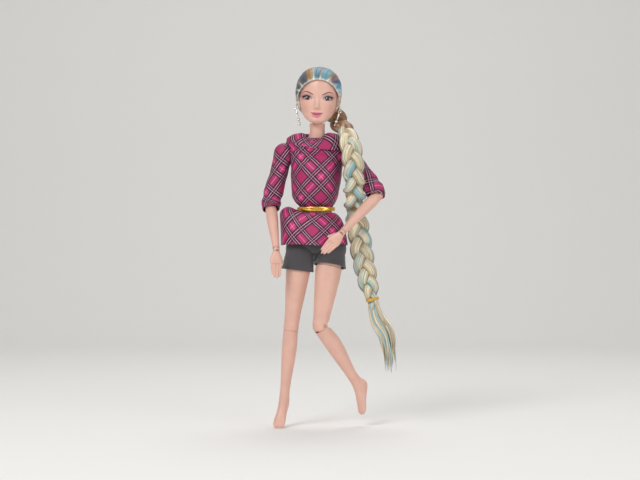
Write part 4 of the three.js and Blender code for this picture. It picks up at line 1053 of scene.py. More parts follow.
class Wardrobe:
    """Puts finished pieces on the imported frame."""

    def __init__(self, frame: dict) -> None:
        """Reads which body each CAD node rides on.
        """
        bodies = frame["record"]["behaviour"]["bodies"]
        self.body_of = {node: body for body, nodes in bodies.items() for node in nodes}
        self.slot_of = {row["node"]: row["material_slot"] for row in frame["record"]["subparts"]}
        self.nodes = frame["nodes"]
        self.replaced: set[str] = set()
        self.materials: dict[Finish, bpy.types.Material] = {}

    def material(self, finish: Finish) -> bpy.types.Material:
        """The finish's material, which is made once.

        Args:
            finish: The finish.

        Returns:
            The material.
        """
        if finish not in self.materials:
            self.materials[finish] = finish.make()
        return self.materials[finish]

    def place(
        self,
        name: str,
        mesh: bpy.types.Mesh,
        finish: Finish,
        nodes: Sequence[str],
        frame: Matrix | None = None,
        crease: float = 40,
        rides: bool = True,
    ) -> bpy.types.Object:
        """Makes a piece of a mesh in mm and lets it stand for CAD nodes.

        Args:
            name: The piece's name.
            mesh: Its mesh, in its own joint's frame.
            finish: Its finish.
            nodes: The CAD nodes that it stands for.
            frame: The joint's frame, or None for the doll's own.
            crease: The angle in degrees above which an edge stays sharp.
            rides: Whether it rides on its first node's body.

        Returns:
            The piece.
        """
        scale = Matrix.Scale(MM, 4)
        mesh.transform(scale @ frame if frame else scale)
        mesh.name = name
        mesh.materials.clear()
        mesh.materials.append(self.material(finish))
        mesh.shade_smooth()
        mesh.set_sharp_from_angle(angle=math.radians(crease))
        piece = bpy.data.objects.new(name, mesh)
        bpy.context.scene.collection.objects.link(piece)
        if rides:
            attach(piece, self.body_of[nodes[0]])
        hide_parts(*nodes)
        self.replaced.update(nodes)
        log.info("%s: %d faces", name, len(mesh.polygons))
        return piece

    def finish_nodes(self, finishes: dict[str, Finish]) -> None:
        """Gives the CAD nodes that still show their materials.

        Args:
            finishes: A finish for each ending of a node's name, and "" for all others.
        """
        for name, node in self.nodes.items():
            if name in self.replaced:
                continue
            ending = next(key for key in finishes if name.endswith(key))
            node.data.materials.clear()
            node.data.materials.append(self.material(finishes[ending]))


@dataclass
class Trunk:
    """The doll's trunk: two smooth half shells with the mould's fine line between them."""

    drop: float = 38
    half_width: float = 22
    half_depth: float = 14
    bust_radius: float = 7.8
    bust_spread: float = 7.5
    bust_height: float = 27
    bust_forward: float = 9.2
    seam: float = 0.12
    hip_hollow: float = 10.8
    shoulder_hollow: float = 7.1
    halving_block: tuple[float, float, float] = (240, 120, 400)
    sides: int = 96
    shares: Sequence[Sequence[float]] = (
        (0, 0.055, 0.3, 0.36),
        (0.028, 0.2, 0.6, 0.7),
        (0.075, 0.9, 0.84, 0.96),
        (0.168, 0.92, 0.88, 0.98),
        (0.262, 0.76, 0.78, 0.8),
        (0.355, 0.545, 0.64, 0.6),
        (0.449, 0.6, 0.68, 0.6),
        (0.542, 0.72, 0.82, 0.66),
        (0.617, 0.79, 0.88, 0.74),
        (0.692, 0.84, 0.84, 0.78),
        (0.766, 0.91, 0.72, 0.75),
        (0.822, 0.8, 0.58, 0.66),
        (0.86, 0.57, 0.48, 0.58),
        (0.888, 0.38, 0.43, 0.5),
        (0.916, 0.3, 0.42, 0.46),
        (1, 0.282, 0.41, 0.43),
    )

    @property
    def height(self) -> float:
        """From the crotch to the neck's top."""
        return self.drop + NECK_TOP

    def outline(self, room: float, start: float = 0, end: float = 1, rings: int = 90) -> np.ndarray:
        """Rings of the trunk's outline.

        Args:
            room: How far outside the trunk they lie.
            start: The first ring's share of the height.
            end: The last ring's share.
            rings: How many there are.

        Returns:
            Points of shape (rings, sides, 3).
        """
        share = np.linspace(start, end, rings)
        width, front, back = Table(self.shares)(share).T
        lean = NECK_LEAN * ease(0.828, 0.888, share)
        angle = circle(self.sides)[None, :]
        points = oval(
            angle + 0 * share[:, None],
            share[:, None] * self.height - self.drop,
            *(width[:, None] * self.half_width + room,) * 2,
            front[:, None] * self.half_depth + room,
            back[:, None] * self.half_depth + room,
        )
        points[..., 0] += lean[:, None]
        return points

    def build(self, wardrobe: Wardrobe) -> None:
        """Makes both half shells.

        Args:
            wardrobe: Puts the pieces on the frame.
        """
        bust = [
            ball(self.bust_radius, (side.value * self.bust_spread, -self.bust_forward, self.bust_height))
            for side in Side
        ]
        legs = [ball(self.hip_hollow, (side.value * HIP_SPREAD, 0, -HIP_DROP)) for side in Side]
        arm_places = [(side.value * SHOULDER_SPREAD, 0, SHOULDER_HEIGHT) for side in Side]
        shoulders = [ball(self.shoulder_hollow, place) for place in arm_places]
        body = combine(Operation.JOIN, grid(self.outline(0)), *bust)
        body = combine(Operation.CUT, body, *legs, *shoulders)
        for front, node in ((-1, "torso_front_shell"), (1, "torso_back_shell")):
            ahead = front * (self.halving_block[1] / 2 + self.seam / 2)
            half = block((0, ahead, 0), self.halving_block)
            shell_half = combine(Operation.COMMON, body.copy(), half)
            wardrobe.place(f"{node}_skin", shell_half, SKIN, [node])


@dataclass
class FacePaint:
    """The painted face, worked out from formulas in mm across and up from the chin.

    Rows of a brush stroke are [across, up, half width], from the inner end to the outer one.
    """

    middle: float = -0.7
    eye_spread: float = 8.0
    eye_height: float = 20.1
    eye_half: float = 3.45
    eye_slant: float = 0.12
    lid_rise: float = 1.75
    lid_drop: float = 1.3
    iris: float = 1.72
    mouth_height: float = 6.9
    mouth_half: float = 4.75
    smile: float = 1.5
    blur: float = 0.13
    lid_rows: Sequence[Sequence[float]] = (
        (-3.4, -0.1, 0.12), (-2.4, 1.0, 0.3), (-0.8, 1.7, 0.42), (1.1, 1.7, 0.55), (2.7, 1.1, 0.62),
        (4.0, 0.95, 0.3), (4.6, 1.2, 0.06),
    )
    flick_rows: Sequence[Sequence[float]] = ((2.9, 0.6, 0.5), (3.9, 0.75, 0.3), (4.7, 1.1, 0.08))
    low_rows: Sequence[Sequence[float]] = (
        (-3.3, -0.3, 0.08), (-1.5, -1.2, 0.14), (0.6, -1.4, 0.18), (2.4, -0.9, 0.26), (3.5, 0.3, 0.26)
    )
    brow_rows: Sequence[Sequence[float]] = (
        (4.0, 23.0, 0.36), (6.2, 24.2, 0.5), (8.8, 25.3, 0.48), (11.0, 25.2, 0.34), (12.9, 24.2, 0.1)
    )

    def parting(self, x: np.ndarray) -> np.ndarray:
        """Where the lips part: it rises towards the corners in a smile."""
        share = np.clip(np.abs(x) / self.mouth_half, 0, 1.2)
        return self.mouth_height + self.smile * share**1.7 - 0.12 * bell(x, 0.7)

    def about_eye(self, rows: Sequence[Sequence[float]]) -> list[tuple[float, float, float]]:
        """Brush rows that are told from the middle of an eye."""
        return [(self.eye_spread + a, self.eye_height + b + self.eye_slant * a, w) for a, b, w in rows]

    def cover(self, inside: np.ndarray) -> np.ndarray:
        """Turns a distance inside a shape into how much it covers."""
        return ease(-self.blur, self.blur, inside)

    def stroke(self, x: np.ndarray, h: np.ndarray, line: Sequence[Sequence[float]]) -> np.ndarray:
        """How much a brush stroke covers.

        Args:
            x: Places across.
            h: Places up.
            line: Rows of [across, up, half width].

        Returns:
            The cover of each place.
        """
        table = Table([[k, *row] for k, row in enumerate(line)])
        dots = table(np.linspace(0, len(line) - 1, 60))
        inside = np.full(x.shape, -9.0)
        for across, up, half in dots:
            inside = np.maximum(inside, half - np.hypot(x - across, h - up))
        return self.cover(inside)

    def layers(self, x: np.ndarray, h: np.ndarray) -> list[tuple[str, np.ndarray]]:
        """The paints in the order in which they are put on, with painted highlights on the nose's bridge and
        the lower lip and painted shade in the nostrils and at the mouth's corners.

        Args:
            x: Places across the face.
            h: Places up from the chin.

        Returns:
            Each paint's colour and how much it covers.
        """
        x = x - self.middle
        out = np.abs(x)
        u = out - self.eye_spread
        v = h - self.eye_height - self.eye_slant * u
        shape = np.clip(1 - (u / self.eye_half) ** 2, 0, 1)
        top, low = self.lid_rise * shape**0.62, -self.lid_drop * shape**0.8
        opening = self.cover(np.minimum(top - v, v - low)) * self.cover(self.eye_half - np.abs(u))
        iris = np.hypot(u + 0.05, h - self.eye_height - 0.15)
        shadow = bell(u - 0.5, 4.1) * ease(4.6, 1.4, v) * ease(-0.5, 0.8, v - top * 0.2)
        outer = bell(u - 3.6, 1.5) * bell(v - 0.3, 1.7)
        crease = self.cover(0.15 - np.abs(v - top - 0.95)) * self.cover(3.1 - np.abs(u))
        glint = np.hypot(u * np.sign(x) + 0.65, v - 0.75)
        arch = np.clip(1 - (x / self.mouth_half) ** 2, 0, 1)
        part = self.parting(x)
        bow = part + 1.6 * arch**0.9 + 0.22 * bell(out - 1.2, 0.8) * arch
        lip = part - 2.5 * arch**0.85
        upper = self.cover(np.minimum(bow - h, h - part + 0.1))
        lower = self.cover(np.minimum(part - h, h - lip))
        within = self.cover(self.mouth_half - out)
        # mask of the painted shade at the corners of the mouth
        corner = bell(out - self.mouth_half, 0.5) * bell(h - self.mouth_height - self.smile, 0.35)
        return [
            ("#dd9382", 0.30 * bell(out - 10.2, 3.6) * bell(h - 13, 3.6)),
            ("#dc9c8a", 0.25 * bell(x, 3.2) * bell(h - 2.5, 2.4)),
            # painted shade in the nostrils
            ("#c98a78", 0.38 * bell(out - 1.35, 0.55) * bell(h - 11.4, 0.36)),
            # painted highlight down the bridge of the nose
            ("#f2d0c2", 0.22 * bell(x, 0.9) * ease(12.5, 14, h) * ease(22, 19, h)),
            ("#6f4968", 0.8 * shadow),
            ("#4a2c42", 0.78 * outer),
            ("#4f3152", 0.55 * crease),
            ("#c2abac", opening),
            ("#2b1d1d", opening * self.cover(self.iris - iris)),
            ("#5b3d30", 0.7 * opening * self.cover(self.iris - 0.4 - iris) * ease(0.4, -1.2, v)),
            ("#0d080a", opening * self.cover(0.85 - iris)),
            ("#ffffff", self.cover(0.34 - glint)),
            ("#1d1119", self.stroke(out, h, self.about_eye(self.lid_rows))),
            ("#1d1119", self.stroke(out, h, self.about_eye(self.flick_rows))),
            ("#3a2230", 0.85 * self.stroke(out, h, self.about_eye(self.low_rows))),
            ("#6b4034", 0.88 * self.stroke(out, h, self.brow_rows)),
            ("#bd5874", 0.95 * upper * within),
            ("#d4708d", 0.95 * lower * within),
            # painted highlight on the middle of the lower lip
            ("#eba0b2", 0.5 * bell(x, 1.7) * bell(h - 5.7, 0.5)),
            ("#8f3350", 0.8 * self.cover(0.14 - np.abs(h - part)) * within),
            # painted shade at the corners of the mouth
            ("#b06461", 0.5 * corner),
        ]

    def colours(self, points: np.ndarray, front: np.ndarray) -> np.ndarray:
        """The face's colours.

        Args:
            points: Places in mm, across, along and up from the chin.
            front: How far each place faces forward, from 0 to 1.

        Returns:
            Linear colours, one row each.
        """
        x, h = points[:, 0], points[:, 2]
        result = np.tile(colour(SKIN_HUE), (len(points), 1))
        for code, share in self.layers(x, h):
            share = (share * front)[:, None]
            result = result * (1 - share) + colour(code) * share
        return result


@dataclass
class Head:
    """The soft vinyl head with its relief and its painted face."""

    height: float = 45.5
    half_width: float = 15.9
    half_depth: float = 17
    chin_drop: float = 4
    shift: float = 1.6
    ear_height: float = 4.6
    ear_depth: float = 2.6
    ear_reach: float = 1.5
    neck_socket: float = 5.3
    throat: tuple[tuple[float, float], ...] = ((9.8, -8.2), (5.3, -0.3))
    sides: int = 330
    rings: int = 290
    paint: FacePaint = field(default_factory=FacePaint)
    shares: Sequence[Sequence[float]] = (
        (0, 0.2, 0.8, -0.52),
        (0.035, 0.4, 0.86, -0.3),
        (0.1, 0.62, 0.88, 0.1),
        (0.19, 0.79, 0.87, 0.52),
        (0.3, 0.905, 0.885, 0.82),
        (0.43, 0.975, 0.9, 1),
        (0.56, 1, 0.905, 1.08),
        (0.69, 0.985, 0.88, 1.09),
        (0.8, 0.905, 0.79, 1.01),
        (0.89, 0.74, 0.62, 0.85),
        (0.96, 0.47, 0.36, 0.6),
        (1, 0.12, 0.02, 0.22),
    )

    def relief(self, x: np.ndarray, h: np.ndarray) -> np.ndarray:
        """How far the features stand out of the plain face.

        Args:
            x: Places across.
            h: Places up from the chin.

        Returns:
            The height of each place.
        """
        x = x - self.paint.middle
        out = np.abs(x)
        ridge = ease(10.4, 13.2, h) * (1 - 0.93 * ease(12.8, 23.5, h) ** 0.8)
        nose = 2.7 * ridge * bell(x, 1.8)
        wings = 0.6 * bell(out - 1.7, 0.85) * bell(h - 12.1, 1.0)
        socket = -1.15 * bell(out - 7.2, 4.4) * bell(h - 20.4, 3.3)
        lid = 0.75 * bell(out - 7.8, 3.3) * bell(h - 19.3, 2.2)
        brow = 0.3 * bell(out - 7.5, 4.5) * bell(h - 24.4, 1.6)
        cheek = 0.55 * bell(out - 8.8, 4.4) * bell(h - 13, 4.6)
        window = bell(x, 3.9)
        lips = h - self.paint.parting(x)
        upper = 0.75 * window * bell(lips - 0.85, 0.95)
        lower = 1.0 * window * bell(lips + 1.3, 1.1)
        parting = -0.5 * bell(x, 4.4) * bell(lips, 0.32)
        chin = 0.75 * bell(x, 3.4) * bell(h - 2.2, 2.0)
        dip = -0.3 * bell(x, 2.6) * bell(h - 4.1, 0.7)
        return nose + wings + socket + lid + brow + cheek + upper + lower + parting + chin + dip

    def skull(self, room: float, featured: bool, sides: int, rings: int) -> np.ndarray:
        """Rings of the head's outline in its own frame.

        Args:
            room: How much larger it is on every side.
            featured: Whether the face's features are on it.
            sides: The points round a ring.
            rings: How many rings there are.

        Returns:
            Points of shape (rings, sides, 3).
        """
        share = np.linspace(0, 1, rings)[:, None]
        width, front, back = (column[:, None] for column in Table(self.shares)(share[:, 0]).T)
        middle = (back - front) / 2 * self.half_depth
        half = (back + front) / 2 * self.half_depth + room
        step = circle(sides)[None, :]
        angle = step - 0.5 * np.sin(step)
        x = np.sin(angle) * (width * self.half_width + room)
        facing = np.cos(angle) + 0 * share
        rise = self.relief(x, share * self.height) * np.clip(2 * facing, 0, 1) if featured else 0
        y = self.shift + middle - facing * half - rise
        z = share * self.height - self.chin_drop + 0 * x
        return np.stack([x, y, z], -1)

    def ear(self, side: Side, room: float) -> bpy.types.Mesh:
        """An ear, or the room for one.

        Args:
            side: The side that it is on.
            room: How much larger it is on every side.

        Returns:
            The ear.
        """
        across = side.value * (self.half_width - self.ear_reach / 2)
        place = (across, self.shift, self.height * 0.4 - self.chin_drop)
        size = (self.ear_reach + room, self.ear_depth + room, self.ear_height + room, 1)
        return moved(ball(1, sides=32), Matrix.Translation(place) @ Matrix.Diagonal(size))

    def lobe(self, side: Side) -> tuple[float, float, float]:
        """Where the earring goes through the ear."""
        x = side.value * (self.half_width - self.ear_reach / 2 + self.ear_reach * 0.6)
        return x, self.shift, self.height * 0.4 - self.chin_drop - self.ear_height * 0.72

    def build(self, wardrobe: Wardrobe) -> None:
        """Makes the head and paints its face.

        Args:
            wardrobe: Puts the pieces on the frame.
        """
        skin_mesh = grid(self.skull(0, True, self.sides, self.rings))
        ears = [self.ear(side, 0) for side in Side]
        throat = grid(np.stack([
            np.column_stack([r * np.cos(circle(48)), r * np.sin(circle(48)), np.full(48, z)])
            for r, z in self.throat
        ]))
        head = combine(Operation.JOIN, skin_mesh, *ears)
        head = combine(Operation.CUT, head, ball(self.neck_socket), throat)
        points = points_of(head)
        local = points + np.array([0, 0, self.chin_drop])
        front = ease(0, -4, points[:, 1]) * ease(15.6, 13.2, np.abs(points[:, 0]))
        paint(head, self.paint.colours(local, front))
        wardrobe.place("head_skin", head, FACE, ["head"], head_frame(), crease=50)


@dataclass
class HairTints:
    """Tints of the locks, as [degrees from the crown towards the doll's left, colour]."""

    locks: Sequence[tuple[float, str]] = (
        (-180, "#b08a5c"), (-150, "#d8c596"), (-125, "#8d6a49"), (-100, "#a98a6a"), (-84, "#c8a791"),
        (-72, "#7d6152"), (-62, "#6d6a72"), (-54, "#3f5168"), (-46, "#8b7a70"), (-38, "#435468"),
        (-31, "#5a6472"), (-25, "#a0764a"), (-17, "#c09a6c"), (-11, "#6f9fab"), (-4, "#55889f"),
        (1, "#8f8a80"), (7, "#5f9bb3"), (14, "#7aadb3"), (20, "#8f6d63"), (26, "#8a6a62"),
        (31, "#2f5f93"), (38, "#4a9cc0"), (45, "#a9cdd4"), (54, "#dcb99f"), (63, "#b07f5f"),
        (75, "#d2ae93"), (92, "#a07448"), (115, "#b98c55"), (140, "#d9c692"), (160, "#8fb9bd"),
        (180, "#b08a5c"),
    )
    # root and the colour after it are a painted highlight along the hairline, pinker towards the doll's left
    root: str = "#eef0e6"
    temple: str = "#f3ddd2"
    gold: str = "#94683f"

    def read(self, degrees: np.ndarray) -> np.ndarray:
        """The tint at these angles, as linear colours.

        Args:
            degrees: The angles.

        Returns:
            The tints.
        """
        places = np.array([a for a, _ in self.locks])
        tints = np.array([colour(code) for _, code in self.locks])
        return np.stack([np.interp(degrees, places, channel) for channel in tints.T], -1)


@dataclass
class HairCap:
    """Hair pulled back from the hairline and gathered behind the left ear."""

    head: Head
    half_width: float = 18.8
    half_depth: float = 19
    rise: float = 1.4
    foot: float = 6
    line_half_width: float = 17.2
    line_half_height: float = 17.6
    line_rise: float = 35.2
    line_back: float = 1.6
    gather_radius: float = 6.4
    lock_depth: float = 0.34
    tints: HairTints = field(default_factory=HairTints)
    shares: Sequence[Sequence[float]] = (
        (0, 0.42, 0.02, 0.66),
        (0.09, 0.72, 0.3, 0.88),
        (0.21, 0.89, 0.53, 1.02),
        (0.36, 0.98, 0.71, 1.09),
        (0.5, 1, 0.83, 1.11),
        (0.65, 0.965, 0.87, 1.08),
        (0.78, 0.86, 0.79, 0.99),
        (0.88, 0.69, 0.62, 0.83),
        (0.96, 0.45, 0.37, 0.58),
        (1, 0.16, 0.08, 0.26),
    )
    gather_route: Sequence[Sequence[float]] = (
        (6, 13, 9), (12.5, 11.96, 6), (17.5, 10.53, 3.5), (19.6, 8.58, 0.4)
    )
    gather_shares: Sequence[float] = (0.95, 1.05, 1, 0.82)
    comb_from: Sequence[float] = (0, -14, 12)
    comb_to: Sequence[float] = (9, 17, 6)
    middle_height: float = 14
    far: float = 60
    skull_room: float = 0.3
    nape_radius: float = 9.4
    nape_rise: float = 5
    lobe_room: float = 2.3
    coords_radius: float = 17

    def turn_about_comb(self, points: np.ndarray) -> tuple[np.ndarray, np.ndarray]:
        """The lock that each place belongs to, and how far along its lock it lies.

        Args:
            points: Places in the head's frame.

        Returns:
            Degrees round the line of combing, with zero at the crown, and mm along it.
        """
        start, end = np.array(self.comb_from, float), np.array(self.comb_to, float)
        line = unit(end - start)
        up = unit(np.array([0, 0, 1]) - line * line[2])
        left = np.cross(up, line)
        left = left if left[0] > 0 else -left
        away = points - start
        return np.degrees(np.arctan2(away @ left, away @ up)), away @ line

    def build(self, wardrobe: Wardrobe) -> None:
        """Makes the combed hair with its locks.

        Args:
            wardrobe: Puts the pieces on the frame.
        """
        height = self.head.height + self.rise - self.foot
        share = np.linspace(0, 1, 150)
        width, front, back = Table(self.shares)(share).T
        angle = circle(230)[None, :] + 0 * share[:, None]
        rings = oval(
            angle,
            share[:, None] * height + self.foot - self.head.chin_drop,
            *(width[:, None] * self.half_width,) * 2,
            front[:, None] * self.half_depth,
            back[:, None] * self.half_depth,
        )
        rings[..., 1] += self.head.shift
        centre = np.array([0, self.head.shift, self.middle_height])
        degrees, _ = self.turn_about_comb(rings.reshape(-1, 3))
        rings = rings + unit(rings - centre) * self.locks(degrees).reshape(*rings.shape[:2], 1)
        route = Route(np.array(self.gather_route, float))
        tied = self.gathered(route)
        far = self.far
        middle = self.line_rise - self.line_half_height - self.head.chin_drop
        opening = moved(
            rod("y", 1, 0, far, 96),
            Matrix.Translation((0, -self.line_back - far, middle))
            @ Matrix.Diagonal((self.line_half_width, 1, self.line_half_height, 1)),
        )
        below = block((0, -self.line_back - far / 2, middle - far / 2), (2 * self.line_half_width, far, far))
        skull = grid(self.head.skull(self.skull_room, False, 90, 70))
        ears = [self.head.ear(side, self.skull_room) for side in Side]
        nape = rod("z", self.nape_radius, -far, self.foot - self.head.chin_drop + self.nape_rise, 64)
        lobes = []
        for side in Side:
            x, y, z = self.head.lobe(side)
            lobes.append(ball(self.lobe_room, (x + side.value * 1.5, y, z - 1)))
        hair = combine(Operation.JOIN, grid(rings), tied)
        hair = combine(Operation.CUT, hair, skull, *ears, opening, below, nape, *lobes)
        self.tint(hair, route, middle)
        wardrobe.place("combed_hair", hair, HAIR, ["hair_cap"], head_frame(), crease=55)

    def locks(self, degrees: np.ndarray) -> np.ndarray:
        """How far the locks stand out at these angles.

        Args:
            degrees: The angles.

        Returns:
            The heights, in mm.
        """
        turn = np.radians(degrees)
        wave = np.abs(np.sin(turn * 13 + 0.9 * np.sin(turn * 3)))
        small = np.abs(np.sin(turn * 31 + 1.7 * np.sin(turn * 5)))
        return self.lock_depth * (wave**0.7 - 0.6) + 0.14 * (small - 0.5)

    def gathered(self, route: Route) -> bpy.types.Mesh:
        """The gathered hair beside the neck, as a ribbed bundle.

        Args:
            route: The line that it follows.

        Returns:
            The bundle.
        """
        share = np.linspace(0, 1, 60)
        radius = Table([[k / 3, value] for k, value in enumerate(self.gather_shares)])(share)
        angle = circle(96)
        ribs = 1 + 0.045 * np.abs(np.sin(angle * 7))[None, :] + 0.02 * np.sin(angle * 19)[None, :]
        size = radius * self.gather_radius * ribs
        return grid(ringed(route.at(share), sideways(route.heading(share)), angle, size, size))

    def tint(self, mesh: bpy.types.Mesh, route: Route, middle: float) -> None:
        """Paints the locks, with a painted highlight along the hairline, and gives them their strand
        coordinates.

        Args:
            mesh: The cut hair.
            route: The line of the gathered hair.
            middle: The height of the hairline's middle.
        """
        points = points_of(mesh)
        degrees, along = self.turn_about_comb(points)
        shades = self.tints.read(degrees)
        # painted highlight in pale spikes along the front of the hairline, pinker towards the doll's left
        edge = np.hypot(points[:, 0] / self.line_half_width, (points[:, 2] - middle) / self.line_half_height)
        turn = np.radians(degrees)
        spike = 0.5 + 0.5 * np.sin(turn * 27 + 2.2 * np.sin(turn * 7)) * np.sin(turn * 11 + 1)
        near = bell(np.maximum(edge - 1, 0), 0.045 + 0.2 * spike**3) * ease(4, -6, points[:, 1])
        near = (0.85 * near)[:, None]
        temple = ease(30, 62, degrees)[:, None]
        root = colour(self.tints.root) * (1 - temple) + colour(self.tints.temple) * temple
        shades = shades * (1 - near) + root * near
        path = route.at(np.linspace(0, 1, 20))
        gap = np.min(np.linalg.norm(points[:, None, :] - path[None], axis=2), axis=1)
        bundle = (ease(9.5, 6.6, gap) * ease(9, 14, points[:, 0]) * 0.75)[:, None]
        shades = shades * (1 - bundle) + colour(self.tints.gold) * bundle
        paint(mesh, shades)
        flat = np.column_stack([np.radians(degrees) * self.coords_radius, along])
        loops = np.zeros(len(mesh.loops), int)
        mesh.loops.foreach_get("vertex_index", loops)
        for layer in list(mesh.uv_layers):
            mesh.uv_layers.remove(layer)
        mesh.uv_layers.new(name="cloth").uv.foreach_set("vector", flat[loops].ravel())


@dataclass
class Braid:
    """Three plump strands that cross over and under each other, the elastic and the loose tail."""

    side: float = 31
    front: float = 19.6
    rise: float = 70.4
    half_width: float = 9.8
    half_depth: float = 6.6
    period: float = 39
    strand_half: float = 4.5
    strand_deep: float = 3.2
    elastic_share: float = 0.955
    tightness: float = 0.46
    seed: int = 11
    route_shares: Sequence[Sequence[float]] = (
        (0.69, -0.35, 1), (0.79, 0.16, 0.886), (0.885, 0.79, 0.724), (0.952, 1, 0.54),
        (0.984, 0.99, 0.355), (1, 0.714, 0.156), (1.045, 0.255, -0.071), (1.135, 0.173, -0.312),
        (1.239, 0.306, -0.611), (1.374, 0.357, -0.88), (1.471, 0.342, -1.051), (1.513, 0.332, -1.15),
    )
    tail_shares: Sequence[Sequence[float]] = (
        (1.486, 0.34, -1.085), (1.556, 0.333, -1.205), (1.645, 0.316, -1.3), (1.85, 0.291, -1.45),
        (1.94, 0.255, -1.676), (1.955, 0.235, -1.898),
    )
    gathered: float = 0.075
    gather_shift: float = 2.6
    sizes: Sequence[Sequence[float]] = (
        (0, 0.84), (0.03, 0.84), (0.075, 0.7), (0.16, 0.87), (0.35, 0.92), (0.6, 0.96), (0.78, 0.94),
        (0.9, 0.78), (0.955, 0.46), (1, 0.52),
    )
    blend_start: tuple[float, float, float] = (0.026, 0, 0.058)
    blend_end: tuple[float, float, float] = (0.021, 0.004, 0.070)
    hues: tuple[str, ...] = ("#e8dab6", "#84c0ca", "#b08a5c", "#fcf7e8")
    # colours of the painted shade on the strands' tucked sides
    crevice_hues: tuple[str, str] = ("#977a54", "#648d95")
    bundle_hue: str = "#c7a184"
    thread: float = 0.42
    thread_turns: int = 3
    tail_hues: tuple[str, ...] = (
        "#e6dabd", "#dccbaa", "#f4ecd8", "#a6cbd1", "#cdb592", "#e0d2b4", "#e8dabf", "#c6cab6",
    )
    tail_locks: int = 58
    tail_spread: Sequence[Sequence[float]] = (
        (0, 0.62), (0.12, 0.84), (0.3, 1.25), (0.55, 1.15), (0.8, 0.85), (1, 0.66)
    )

    def route(self, shares: Sequence[Sequence[float]]) -> Route:
        """A route through places given in shares of the braid's three sizes."""
        return Route(np.array(shares, float) * np.array([self.side, -self.front, self.rise]))

    def strand_line(self, route: Route, strand: int, share: np.ndarray) -> np.ndarray:
        """The middle line of one strand.

        Args:
            route: The line that it follows.
            strand: Which strand it is.
            share: Shares of its length.

        Returns:
            The line's points.
        """
        size = Table(self.sizes)(share)
        phase = share * route.length * 2 * math.pi / self.period + strand * 2 * math.pi / 3
        across, out = sideways(route.heading(share))
        plaited = ease(0.3 * self.gathered, 1.2 * self.gathered, share)
        sway_across = (self.half_width - self.strand_half) * size[:, 0] * np.sin(phase)
        sway_across = sway_across - self.gather_shift * (1 - ease(0, self.gathered, share))
        sway_out = (self.half_depth - self.strand_deep) * size[:, 0] * np.sin(2 * phase) * plaited
        return route.at(share) + across * sway_across[:, None] + out * sway_out[:, None]

    def build(self, wardrobe: Wardrobe) -> None:
        """Makes the strands, the elastic and the tail.

        Args:
            wardrobe: Puts the pieces on the frame.
        """
        route = self.route(self.route_shares)
        share = np.linspace(0, 1, 620)
        angle = circle(56)
        rng = np.random.default_rng(self.seed)
        for strand in range(3):
            line = self.strand_line(route, strand, share)
            ways = sideways(unit(np.gradient(line, axis=0)))
            size = Table(self.sizes)(share) * self.grooves(angle, share, strand)
            rings = ringed(line, ways, angle, size * self.strand_half, size * self.strand_deep)
            turns = np.append(angle, 2 * math.pi)
            flat = strand_coords(turns * self.strand_half + 40 * strand, share * route.length * 1.2)
            mesh = grid(rings, flat)
            paint(mesh, self.tint(angle, share, strand, rng).reshape(-1, 4))
            node = f"braid_strand_{strand + 1}"
            piece = wardrobe.place(f"{node}_hair", mesh, BRAID, [node], crease=80, rides=False)
            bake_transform(piece)
        self.tie(wardrobe, route)
        self.tail(wardrobe, rng)

    def grooves(self, angle: np.ndarray, share: np.ndarray, strand: int) -> np.ndarray:
        """The combed grooves of a strand, as a share of its size.

        Args:
            angle: Angles round it.
            share: Shares of its length.
            strand: Which strand it is.

        Returns:
            The size of each place.
        """
        slow = 0.5 * np.sin(share * 21 + strand)[:, None]
        ribs = np.abs(np.sin(angle[None, :] * 6 + slow + strand))
        fine = np.sin(angle[None, :] * 17 + 2 * slow)
        return 1 + 0.035 * (ribs - 0.6) + 0.012 * fine

    def tint(
        self, angle: np.ndarray, share: np.ndarray, strand: int, rng: np.random.Generator
    ) -> np.ndarray:
        """Paints pale blonde hair with teal and brown streaks in it, and painted shade on the sides where the
        strands tuck together.

        Args:
            angle: Angles round the strand.
            share: Shares along it.
            strand: Which strand it is.
            rng: The seeded source of the streaks' places.

        Returns:
            Linear colours of shape (shares, angles, 4).
        """
        blonde, teal, brown, cream = (colour(hue) for hue in self.hues)
        a, s = angle[None, :], share[:, None]
        shades = np.broadcast_to(blonde, (len(share), len(angle), 4)).copy()
        for tone, width, strength in ((cream, 0.3, 0.75), (brown, 0.22, 0.7), (teal, 0.45, 0.9)):
            for _ in range(3):
                middle = rng.uniform(0, 2 * math.pi)
                middle = middle + 0.7 * np.sin(s * rng.uniform(8, 18) + rng.uniform(0, 6))
                gap = np.abs((a - middle + math.pi) % (2 * math.pi) - math.pi)
                fade = 0.55 + 0.45 * np.sin(s * rng.uniform(12, 30) + rng.uniform(0, 6))
                amount = (strength * bell(gap, width) * fade)[..., None]
                shades = shades * (1 - amount) + tone * amount
        # painted shade on the sides of each strand, where it tucks against the others
        crevice_shade = ease(0.72, 0.98, np.abs(np.cos(a)))[..., None] * np.ones_like(s)[..., None]
        deep = colour(self.crevice_hues[strand % 2])
        shades = shades * (1 - 0.75 * crevice_shade) + deep * 0.75 * crevice_shade
        comb = 0.55 * (0.5 + 0.5 * np.sin(a * 9 + 3 * np.sin(a * 2) + strand))[..., None]
        gold = colour(HairTints.gold) * (1 - comb) + colour(self.bundle_hue) * comb
        bundle = ease(1.1 * self.gathered, 0.7 * self.gathered, s + 0.006 * np.sin(a * 5))[..., None]
        return shades * (1 - bundle) + gold * bundle

